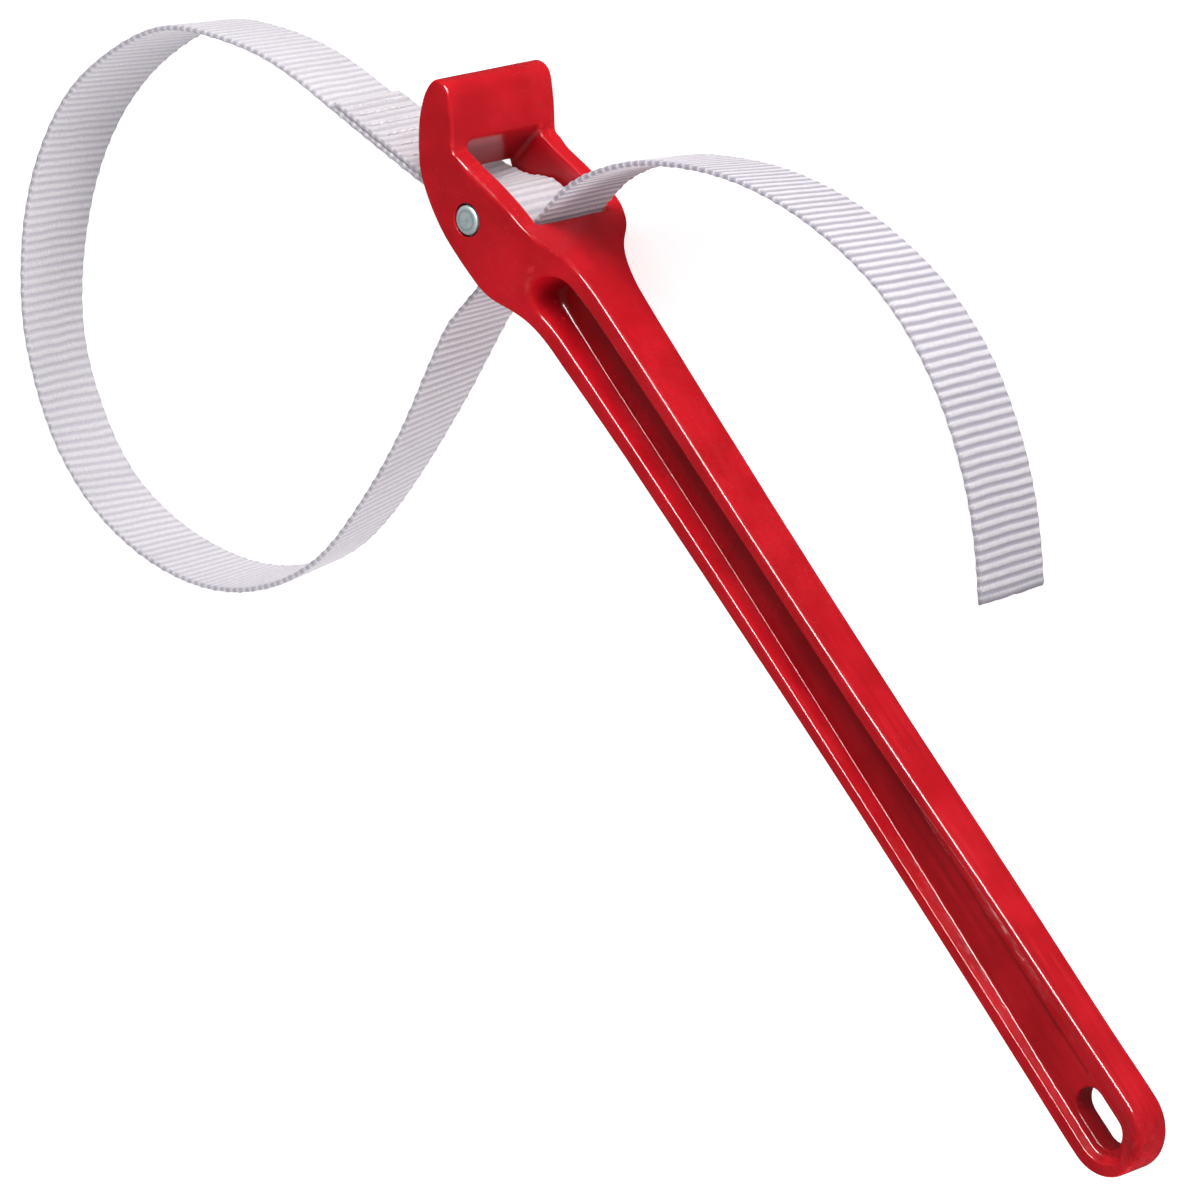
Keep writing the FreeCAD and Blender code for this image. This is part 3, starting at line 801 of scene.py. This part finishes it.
def strip_section(along, across, inner, cuts):
    """Half thickness and z over a strip; inner is false at its ends, cuts are its cut ends."""
    phase = along / RIB_PITCH
    rib = np.floor(phase + 1e-6).astype(int)
    crest = (0.5 - 0.5 * np.cos(2 * np.pi * np.clip(phase - rib, 0, 1))) ** 0.85
    edge = smoothstep(12.0, 13.6, np.abs(across))
    # every second rib turns back short of the selvedge; the two edges alternate
    short = ((rib + (across > 0)) % 2 == 0) * crest
    thick = (HALF_THICK - RIB_DEPTH * (1 - crest)
             + 0.035 * noise(along, across, 0.0, scale=3.0, seed=11) * inner)
    thick = thick * (1 - 0.10 * edge * short) + 0.04 * edge * (1 - short)
    into_selvedge = np.clip(np.abs(across) - 12.9, 0, 1.1) / 1.1
    selvedge = np.sqrt(np.clip(1 - into_selvedge ** 2.6, 0.0, 1))
    thick = np.minimum(thick, 1.05) * np.maximum(selvedge, 0.06)
    # melted and slightly thinned where the webbing is cut
    for cut in cuts:
        away = np.abs(along - cut)
        lumps = 0.06 * noise(along * 3, across, 0.0, scale=1.3, seed=21) * fall(0.3, 1.2, away)
        thick = thick * (0.42 + 0.58 * smoothstep(0.0, 0.75, away)) + lumps
    outward = np.where(across > 0, 1, -1)
    return thick, MID + (across + outward * edge * (0.06 - 0.20 * short) * inner)


def strip_faces(row_count):
    columns = len(COLUMNS)
    ring = 2 * columns
    i = np.arange(row_count - 1)[:, None] * ring
    j = np.arange(ring)[None, :]
    j_next = (j + 1) % ring
    sides = np.stack([i + ring + j, i + ring + j_next, i + j_next, i + j], 2).reshape(-1, 4)
    a = np.arange(columns - 1)
    cap = np.stack([a, a + 1, ring - 2 - a, ring - 1 - a], 1)
    return np.vstack([sides, cap, (row_count - 1) * ring + cap[:, ::-1]])


def webbing_strip(name, start, end, cut_start=False, cut_end=False):
    """A closed length of ribbed webbing between two places on the strap."""
    rows = strip_rows(start, end, cut_start, cut_end)
    along, across = np.meshgrid(rows, COLUMNS, indexing="ij")
    inner = (along > start + 0.3) & (along < end - 0.3)
    cuts = [start] * cut_start + [end] * cut_end
    thick, z = strip_section(along, across, inner, cuts)
    heading = heading_at(rows)
    normal = np.c_[-heading[:, 1], heading[:, 0]][:, None]
    heading = heading[:, None]
    lead = interp_pair(rows, LEAD_S, LEAD)[:, None]
    # the ribs wander a little along the strap
    wander = (0.16 * noise(along * 0.35, across, 0.0, scale=6.0, seed=5) * inner
              * fall(12.5, 14, np.abs(across)))
    middle = (path_at(rows)[:, None] + (across / HALF_WIDE)[..., None] * lead
              + heading * wander[..., None])
    # the start of the eye rides up, towards +y, at its -z edge
    middle[..., 1] += (3.0 * np.exp(-((along - EYE_START - 3.0) / 9.0) ** 2)
                       * np.clip(-across / HALF_WIDE, 0, 1))
    if cut_end:
        ragged = 0.25 * noise(across, 0.0, 0.0, scale=1.1, seed=31) * (along > end - 0.05)
        middle += heading * ragged[..., None]
    offset = normal * thick[..., None]
    faces = [np.concatenate([xy, z[..., None]], 2) for xy in (middle + offset, middle - offset)]
    verts = np.concatenate([faces[0], faces[1][:, ::-1]], 1).reshape(-1, 3)
    uv_along = np.repeat(rows[:, None], 2 * len(COLUMNS), 1)
    uv_across = np.concatenate([across, across[:, ::-1]], 1)
    uv = np.stack([uv_along, uv_across], 2).reshape(-1, 2)
    return mesh_object(name, verts, strip_faces(len(rows)), uv=uv)


def nearest_groove(s):
    return round(s / RIB_PITCH) * RIB_PITCH


LOOP_BODIES, TAIL_BODIES = 12, 6


def build_strap():
    """The eye, then a length of webbing from the middle of each body to that of the next."""
    eye_end = nearest_groove(LOOP_START - 22.0)
    eye = webbing_strip("strap_eye_webbing", 0.0, eye_end, cut_start=True)
    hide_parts("strap_eye")
    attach(eye, "eye")
    pieces = [eye]
    bodies = (["eye"] + ["loop_%02d" % (i + 1) for i in range(LOOP_BODIES)] + ["slot_strand"]
              + ["tail_%02d" % (i + 1) for i in range(TAIL_BODIES)])
    loop_step = (STRAND_START - LOOP_START) / LOOP_BODIES
    tail_step = (STRAP_END - TAIL_START) / TAIL_BODIES
    middles = [eye_end]
    middles += [nearest_groove(LOOP_START + (i + 0.5) * loop_step) for i in range(LOOP_BODIES)]
    middles += [nearest_groove((STRAND_START + TAIL_START) / 2)]
    middles += [nearest_groove(TAIL_START + (i + 0.5) * tail_step) for i in range(TAIL_BODIES - 1)]
    middles += [STRAP_END]
    last = len(bodies) - 2
    for i in range(last + 1):
        body, following = bodies[i], bodies[i + 1]
        start, end = middles[i], middles[i + 1]
        name = "strap_flex_%02d_webbing" % (i + 1)
        ob = webbing_strip(name, start, end, cut_end=(i == last))
        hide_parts("strap_" + following)
        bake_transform(ob)
        pieces.append(ob)
    return pieces


strap = build_strap()

# ---------------------------------------------------------------------------
# stitching: rows of lockstitches across the webbing, on both faces of the lap
# ---------------------------------------------------------------------------
STITCH_ROWS = (8.5, 14.2, 19.9, 25.6, 31.3, 37.0, 41.3)    # distance along the lap
STITCH_EDGE = 11.4                           # each row runs from -this to this, in z
STITCH_PITCH = 3.4
LAP_THICK = 4 * HALF_THICK
THREAD_RADIUS = 0.33
THREAD_SEGMENTS = 7


def stitch_path(distance, start, end, outward, level):
    """One stitch on a face of the lap at this level, its ends sunk in the webbing."""
    lead = LOOP_LEAD[0, 1:] * (distance / LAP_LENGTH) ** 2
    points = []
    for t in np.linspace(0, 1, 9):
        across = start + (end - start) * t
        height = 0.12 * math.sin(math.pi * t) ** 0.5 - 0.06
        if t in (0, 1):
            height -= 0.35
        x, y = (LAP_ORIGIN + OFFSET + LAP * distance + LAP_NORMAL * (level + outward * height)
                + lead * across / HALF_WIDE)
        points.append((x, y, MID + across))
    return np.array(points)


def thread_mesh(paths):
    """Closed tubes along the paths."""
    verts, quads, tris = [], [], []
    seg = THREAD_SEGMENTS
    for points in paths:
        heading = unit(np.gradient(points, axis=0))
        base = len(verts)
        n = len(points)
        for i in range(n):
            side = np.cross(heading[i], np.array([0.3, 0.5, 0.81]))
            side /= np.linalg.norm(side)
            other = np.cross(heading[i], side)
            for k in range(seg):
                angle = 2 * math.pi * k / seg
                # two-ply twist shows as a slight ovality that turns
                radius = THREAD_RADIUS * (1 + 0.16 * math.cos(2 * angle + i * 1.15))
                around = math.cos(angle) * side + math.sin(angle) * other
                verts.append(points[i] + radius * around)
        for i in range(n - 1):
            ring = base + i * seg
            for k in range(seg):
                j = (k + 1) % seg
                quads.append((ring + k, ring + j, ring + seg + j, ring + seg + k))
        first_tip = len(verts)
        last_ring = base + (n - 1) * seg
        verts += [points[0], points[-1]]
        for k in range(seg):
            j = (k + 1) % seg
            tris.append((first_tip, base + j, base + k))
            tris.append((first_tip + 1, last_ring + k, last_ring + j))
    return verts, quads, tris


def build_stitches():
    width = 2 * STITCH_EDGE
    count = int(round(width / STITCH_PITCH))
    paths = []
    for distance in STITCH_ROWS:
        for i in range(count):
            start = -STITCH_EDGE + width * ((i + 0.10) / count)
            end = -STITCH_EDGE + width * ((i + 0.90) / count)
            for outward, level in ((1, 0.0), (-1, -LAP_THICK)):
                paths.append(stitch_path(distance, start, end, outward, level))
    verts, quads, tris = thread_mesh(paths)
    return mesh_object("lap_stitching_thread", verts, quads, tris=tris)


stitching = build_stitches()
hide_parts("strap_stitching")
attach(stitching, "eye")


# ---------------------------------------------------------------------------
# materials
# ---------------------------------------------------------------------------
class Shader:
    """A material with a Principled surface, and short ways to add nodes to it."""

    def __init__(self, name):
        self.material = bpy.data.materials.new(name)
        self.material.use_nodes = True
        self.tree = self.material.node_tree
        self.tree.nodes.clear()
        self.output = self.tree.nodes.new("ShaderNodeOutputMaterial")
        self.bsdf = self.tree.nodes.new("ShaderNodeBsdfPrincipled")
        self.feed(self.bsdf.outputs[0], self.output.inputs[0])

    def feed(self, value, socket):
        """Link an output to the socket, or set the socket to a plain value."""
        if hasattr(value, "links"):
            self.tree.links.new(value, socket)
        else:
            socket.default_value = value

    def surface(self, values):
        for name, value in values.items():
            self.feed(value, self.bsdf.inputs[name])

    def new(self, kind, **values):
        node = self.tree.nodes.new(kind)
        for name, value in values.items():
            self.feed(value, node.inputs[name])
        return node

    def object_place(self):
        return self.new("ShaderNodeTexCoord").outputs["Object"]

    def split(self, vector):
        node = self.new("ShaderNodeSeparateXYZ")
        self.feed(vector, node.inputs[0])
        return node.outputs

    def calc(self, operation, a, b=None, clamp=False):
        node = self.new("ShaderNodeMath")
        node.operation = operation
        node.use_clamp = clamp
        self.feed(a, node.inputs[0])
        if b is not None:
            self.feed(b, node.inputs[1])
        return node.outputs[0]

    def mix(self, factor, a, b):
        node = self.new("ShaderNodeMix")
        node.data_type = "RGBA"
        for value, i in ((factor, 0), (a, 6), (b, 7)):
            self.feed(value, node.inputs[i])
        return node.outputs[2]

    def noise(self, vector, scale, detail, roughness=0.55, distortion=0.0):
        return self.new("ShaderNodeTexNoise", Scale=scale, Detail=detail, Roughness=roughness,
                        Distortion=distortion, Vector=vector).outputs[0]

    def ramp(self, value, span, to=(0.0, 1.0)):
        """Ease between the two values of to as value goes across span."""
        node = self.new("ShaderNodeMapRange")
        node.interpolation_type = "SMOOTHSTEP"
        for i, number in enumerate((value, *span, *to)):
            self.feed(number, node.inputs[i])
        return node.outputs[0]

    def bump(self, height, strength, distance, over=None):
        node = self.new("ShaderNodeBump", Strength=strength, Distance=distance, Height=height)
        if over is not None:
            self.feed(over, node.inputs["Normal"])
        return node.outputs[0]

    def mix_shader(self, factor, a, b):
        """Blend two shaders and send the result to the output."""
        node = self.new("ShaderNodeMixShader")
        for i, value in enumerate((factor, a, b)):
            self.feed(value, node.inputs[i])
        self.feed(node.outputs[0], self.output.inputs[0])


def srgb(*channels):
    """Linear colour from 0-255 sRGB channels."""
    def linear(c):
        c /= 255.0
        return c / 12.92 if c <= 0.04045 else ((c + 0.055) / 1.055) ** 2.4
    return (*map(linear, channels), 1.0)


def red_enamel():
    m = Shader("red_enamel_paint")
    place = m.object_place()
    broad = m.noise(place, scale=60.0, detail=3.0)
    medium = m.noise(place, scale=420.0, detail=4.0)
    fine = m.noise(place, scale=1500.0, detail=3.0)
    pointiness = m.new("ShaderNodeNewGeometry").outputs["Pointiness"]
    color = m.mix(m.ramp(broad, span=(0.35, 0.65)), srgb(186, 14, 26), srgb(202, 20, 33))
    color = m.mix(m.ramp(medium, span=(0.62, 0.80), to=(0.0, 0.35)), color, srgb(140, 6, 15))
    # faint streaks along the handle, stronger away from the head
    stretched = m.new("ShaderNodeMapping", Scale=(22.0, 420.0, 420.0), Vector=place).outputs[0]
    streaks = m.noise(stretched, scale=1.0, detail=3.0, roughness=0.6, distortion=0.4)
    away = m.ramp(m.split(place)[0], span=(0.03, 0.25), to=(0.15, 1.0))
    dark = m.calc("MULTIPLY", m.ramp(streaks, span=(0.52, 0.70), to=(0.0, 0.55)), away)
    color = m.mix(dark, color, srgb(150, 14, 26))
    light = m.calc("MULTIPLY", m.ramp(streaks, span=(0.30, 0.46), to=(0.40, 0.0)), away)
    color = m.mix(light, color, srgb(214, 44, 52))
    # painted shade in the recess, the window and the hang hole, and along the foot of the high-y wall
    attribute = m.new("ShaderNodeAttribute")
    attribute.attribute_name = "shade_amount"
    shade_amount = attribute.outputs["Fac"]
    color = m.mix(m.calc("MULTIPLY", shade_amount, 0.46, clamp=True), color, srgb(104, 4, 12))
    # lighter on the sharpest edges, and painted shade in concave corners
    lighter_on_edges = m.ramp(pointiness, span=(0.515, 0.58), to=(0.0, 0.30))
    color = m.mix(lighter_on_edges, color, srgb(222, 60, 62))
    corner_shade = m.ramp(pointiness, span=(0.40, 0.49), to=(0.55, 0.0))
    color = m.mix(corner_shade, color, srgb(96, 4, 10))
    # a few specks in the paint
    cells = m.new("ShaderNodeTexVoronoi", Scale=210.0, Vector=place).outputs["Distance"]
    dots = m.ramp(cells, span=(0.035, 0.075), to=(1.0, 0.0))
    patches = m.ramp(m.noise(place, scale=33.0, detail=2.0), span=(0.60, 0.66))
    specks = m.calc("MULTIPLY", dots, patches, clamp=True)
    color = m.mix(m.calc("MULTIPLY", specks, 0.65), color, srgb(60, 12, 16))
    roughness = m.calc("ADD", m.ramp(medium, span=(0.3, 0.7), to=(0.0, 0.07)), 0.20)
    haze = m.ramp(m.noise(place, scale=25.0, detail=2.0), span=(0.45, 0.75), to=(0.0, 0.06))
    roughness = m.calc("ADD", roughness, haze)
    coat = m.ramp(shade_amount, span=(0.3, 0.9), to=(0.5, 0.16))
    ripple = m.bump(medium, strength=0.25, distance=0.00006)
    m.surface({
        "Base Color": color, "Roughness": roughness, "IOR": 1.5, "Specular IOR Level": 0.22,
        "Coat Weight": coat, "Coat Roughness": 0.055, "Coat Normal": ripple,
        "Normal": m.bump(fine, strength=0.22, distance=0.00002, over=ripple)})
    return m.material


def zinc():
    m = Shader("zinc_plated_steel")
    place = m.object_place()
    fine = m.noise(place, scale=900.0, detail=4.0)
    broad = m.noise(place, scale=260.0, detail=3.0)
    color = m.mix(m.ramp(broad, span=(0.3, 0.7)), srgb(186, 204, 208), srgb(214, 226, 228))
    color = m.mix(m.ramp(fine, span=(0.60, 0.78), to=(0.0, 0.6)), color, srgb(128, 146, 150))
    # painted shade: a ring, the rim and the centre are darker; spans are radii in metres
    x, y, _ = m.split(place)
    squares = m.calc("ADD", m.calc("MULTIPLY", x, x), m.calc("MULTIPLY", y, y))
    radius = m.calc("SQRT", squares)
    ring = m.calc("MULTIPLY", m.ramp(radius, span=(0.0021, 0.0028)),
                  m.ramp(radius, span=(0.0030, 0.0034), to=(1.0, 0.0)))
    color = m.mix(m.calc("MULTIPLY", ring, 0.45), color, srgb(120, 140, 146))
    rim = m.ramp(radius, span=(0.0040, 0.0044), to=(0.0, 0.6))
    color = m.mix(rim, color, srgb(96, 108, 112))
    centre = m.ramp(radius, span=(0.0002, 0.0009), to=(0.35, 0.0))
    color = m.mix(centre, color, srgb(126, 146, 152))
    roughness = m.calc("ADD", m.ramp(fine, span=(0.3, 0.7), to=(0.0, 0.15)), 0.36)
    turning = m.new("ShaderNodeTexWave", Scale=900.0, Distortion=1.2, Vector=place)
    turning.wave_type = "RINGS"
    turning.rings_direction = "Z"
    grooves = m.bump(turning.outputs["Fac"], strength=0.3, distance=0.00003)
    m.surface({
        "Base Color": color, "Metallic": 0.45, "Roughness": roughness,
        "Normal": m.bump(broad, strength=0.3, distance=0.00005, over=grooves)})
    return m.material


YARN_PITCH = 0.62


def webbing():
    """White webbing; its UV map holds millimetres along and across the strap."""
    m = Shader("white_nylon_webbing")
    uv_node = m.new("ShaderNodeUVMap")
    uv_node.uv_map = "strap"
    uv = uv_node.outputs[0]
    along, across, _ = m.split(uv)
    phase = m.calc("FRACT", m.calc("DIVIDE", along, RIB_PITCH))
    rib = m.calc("SINE", m.calc("MULTIPLY", phase, math.pi))    # 0 in the groove, 1 on the crest
    # warp yarns: fine lines along the strap that lie over each rib
    jitter = m.calc("MULTIPLY", m.noise(uv, scale=0.35, detail=2.0), 0.5)
    angle = m.calc("MULTIPLY", m.calc("ADD", across, jitter), 2 * math.pi / YARN_PITCH)
    yarn = m.calc("ADD", m.calc("MULTIPLY", m.calc("SINE", angle), 0.5), 0.5)
    # the yarns dive at the ribs one after another, so each groove has toothed edges
    teeth = m.calc("MULTIPLY", m.calc("SUBTRACT", yarn, 0.5), 0.30)
    groove = m.ramp(m.calc("ADD", rib, teeth), span=(0.42, 0.92), to=(1.0, 0.0))
    groove_shade_strength = m.calc("ADD", m.ramp(along, span=(560.0, 720.0), to=(0.0, 0.36)), 0.34)
    blotches = m.noise(uv, scale=0.9, detail=4.0)
    fuzz = m.noise(uv, scale=6.0, detail=3.0)
    color = m.mix(m.ramp(blotches, span=(0.35, 0.7)), srgb(254, 252, 253), srgb(243, 239, 244))
    # painted shade in the grooves between the ribs, stronger towards the tail
    color = m.mix(m.calc("MULTIPLY", groove, groove_shade_strength), color, srgb(156, 151, 170))
    # painted shade in the gaps between the warp yarns
    yarn_gap_shade = m.ramp(yarn, span=(0.0, 0.45), to=(1.0, 0.0))
    color = m.mix(m.calc("MULTIPLY", yarn_gap_shade, 0.16), color, srgb(176, 168, 184))
    # painted shade in the notches between the turns at the selvedges
    edge = m.ramp(m.calc("ABSOLUTE", across), span=(13.1, 13.7))
    turns = m.calc("SINE", m.calc("MULTIPLY", along, 2 * math.pi / RIB_PITCH))
    notch_shade = m.calc("MULTIPLY", edge, m.ramp(turns, span=(-0.2, 0.5), to=(1.0, 0.0)))
    color = m.mix(m.calc("MULTIPLY", notch_shade, 0.45), color, srgb(150, 144, 160))
    burnt = m.ramp(along, span=(STRAP_END - 2.6, STRAP_END - 0.9), to=(0.0, 0.62))
    color = m.mix(burnt, color, srgb(140, 134, 152))
    m.surface({"Roughness": 0.55})           # plain value behind the noise linked next
    m.surface({
        "Base Color": color, "Roughness": m.ramp(fuzz, span=(0.3, 0.7), to=(0.46, 0.66)),
        "Sheen Weight": 0.25, "Sheen Roughness": 0.5})
    height = m.calc("MULTIPLY", yarn, m.ramp(rib, span=(0.1, 0.8), to=(0.25, 1.0)))
    yarns = m.bump(height, strength=0.55, distance=0.00009)
    m.surface({"Normal": m.bump(fuzz, strength=0.4, distance=0.00006, over=yarns)})
    through = m.new("ShaderNodeBsdfTranslucent", Color=color)
    m.mix_shader(0.38, m.bsdf.outputs[0], through.outputs[0])
    return m.material


def thread():
    m = Shader("white_sewing_thread")
    fibres = m.noise(m.object_place(), scale=1300.0, detail=3.0)
    color = m.mix(m.ramp(fibres, span=(0.35, 0.7)), srgb(250, 248, 250), srgb(222, 216, 226))
    m.surface({
        "Base Color": color, "Roughness": 0.5, "Sheen Weight": 0.3,
        "Normal": m.bump(fibres, strength=0.5, distance=0.00008)})
    return m.material


def pale_floor():
    """Bright to the eye, quieter in the paint's reflections and as a bounce."""
    m = Shader("pale_floor")
    rays = m.new("ShaderNodeLightPath").outputs
    seen = m.calc("MULTIPLY", rays["Is Camera Ray"], 0.70)
    bounced = m.calc("MULTIPLY", rays["Is Diffuse Ray"], 0.10)
    m.surface({
        "Base Color": (0.86, 0.86, 0.865, 1), "Roughness": 0.9, "Specular IOR Level": 0.0,
        "Emission Color": (1, 1, 1, 1), "Emission Strength": m.calc("ADD", seen, bounced)})
    dark = m.new("ShaderNodeBsdfDiffuse", Color=(0.10, 0.10, 0.105, 1))
    m.mix_shader(rays["Is Glossy Ray"], m.bsdf.outputs[0], dark.outputs[0])
    return m.material


def paint(material, *objects):
    for ob in objects:
        ob.data.materials.clear()
        ob.data.materials.append(material)


paint(red_enamel(), casting)
paint(zinc(), pin)
paint(webbing(), *strap)
paint(thread(), stitching)

# ---------------------------------------------------------------------------
# stage, in metres: floor, camera, lights, world
# ---------------------------------------------------------------------------
FLOOR_HALF, FLOOR_Z = 6, -0.0004
CAMERA_RIGHT = Vector((0.51247, 0.51254, -0.68897))
CAMERA_UP = Vector((-0.81094, 0.55272, -0.19201))
CAMERA_FORWARD = Vector((-0.28239, -0.65711, -0.69890))
CAMERA_PLACE = Vector((671.097, 1269.498, 1431.0)) * MM
# points the lights aim at
WHOLE = Vector((0.07, -0.03, 0.02))
HANDLE_MIDDLE = Vector((0.13, 0.0, 0.02))
HEAD = Vector((0.0, 0.0, 0.02))


def build_floor():
    corners = [(x * FLOOR_HALF, y * FLOOR_HALF, FLOOR_Z)
               for x, y in ((-1, -1), (1, -1), (1, 1), (-1, 1))]
    mesh = bpy.data.meshes.new("floor")
    mesh.from_pydata(corners, [], [(0, 1, 2, 3)])
    floor = add_object("floor", mesh)
    paint(pale_floor(), floor)


def build_camera():
    data = bpy.data.cameras.new("camera")
    data.sensor_width = 36.0
    data.lens = 208.26648
    data.clip_start = 0.1
    data.clip_end = 30
    camera = add_object("camera", data)
    turn = Matrix((CAMERA_RIGHT, CAMERA_UP, -CAMERA_FORWARD)).transposed()
    camera.matrix_world = Matrix.Translation(CAMERA_PLACE) @ turn.to_4x4()
    bpy.context.scene.camera = camera


def area_light(name, toward, distance, size, power, size_y=None, long_axis=None, target=WHOLE):
    """Area light facing target from the direction toward; long_axis sets where its x side lies."""
    toward = Vector(toward).normalized()
    place = target + toward * distance
    light = bpy.data.lights.new(name, "AREA")
    light.energy = power
    light.size = size
    if size_y:
        light.shape = "RECTANGLE"
        light.size_y = size_y
    ob = add_object(name, light)
    ob.location = place
    if long_axis is None:
        aim = (target - place).normalized()
        ob.rotation_euler = aim.to_track_quat("-Z", "Y").to_euler()
    else:
        side = Vector(long_axis) - toward * Vector(long_axis).dot(toward)
        side.normalize()
        turn = Matrix((side, toward.cross(side), toward)).transposed()
        ob.rotation_euler = turn.to_euler()
    return ob


def build_lights():
    # the key shows only in reflections, the others only in diffuse light
    key = area_light("strip_key", (-0.28, 0.68, 0.68), distance=1.5, size=1.1, power=58,
                     size_y=0.36, long_axis=(1.0, 0.0, 0.0), target=HANDLE_MIDDLE)
    key.visible_diffuse = False
    fills = [
        area_light("soft_key", (-0.28, 0.86, 0.42), distance=1.0, size=0.36, power=7.3,
                   target=HEAD),
        area_light("top_fill", (-0.15, 0.95, 0.42), distance=1.7, size=1.0, power=7),
        area_light("cross_fill", (0.85, -0.50, 0.03), distance=1.8, size=1.0, power=44)]
    for fill in fills:
        fill.visible_glossy = False


def build_world():
    """White surroundings, dimmer in reflections."""
    world = bpy.data.worlds.new("studio")
    bpy.context.scene.world = world
    world.use_nodes = True
    tree = world.node_tree
    background = tree.nodes["Background"]
    background.inputs["Color"].default_value = (1, 1, 1, 1)
    rays = tree.nodes.new("ShaderNodeLightPath")
    strength = tree.nodes.new("ShaderNodeMapRange")
    strength.inputs[3].default_value = 0.34  # to other rays
    strength.inputs[4].default_value = 0.10  # to glossy rays
    tree.links.new(rays.outputs["Is Glossy Ray"], strength.inputs[0])
    tree.links.new(strength.outputs[0], background.inputs["Strength"])


build_floor()
build_camera()
build_lights()
build_world()
bpy.context.scene.view_settings.view_transform = "Standard"
bpy.context.scene.view_settings.look = "None"
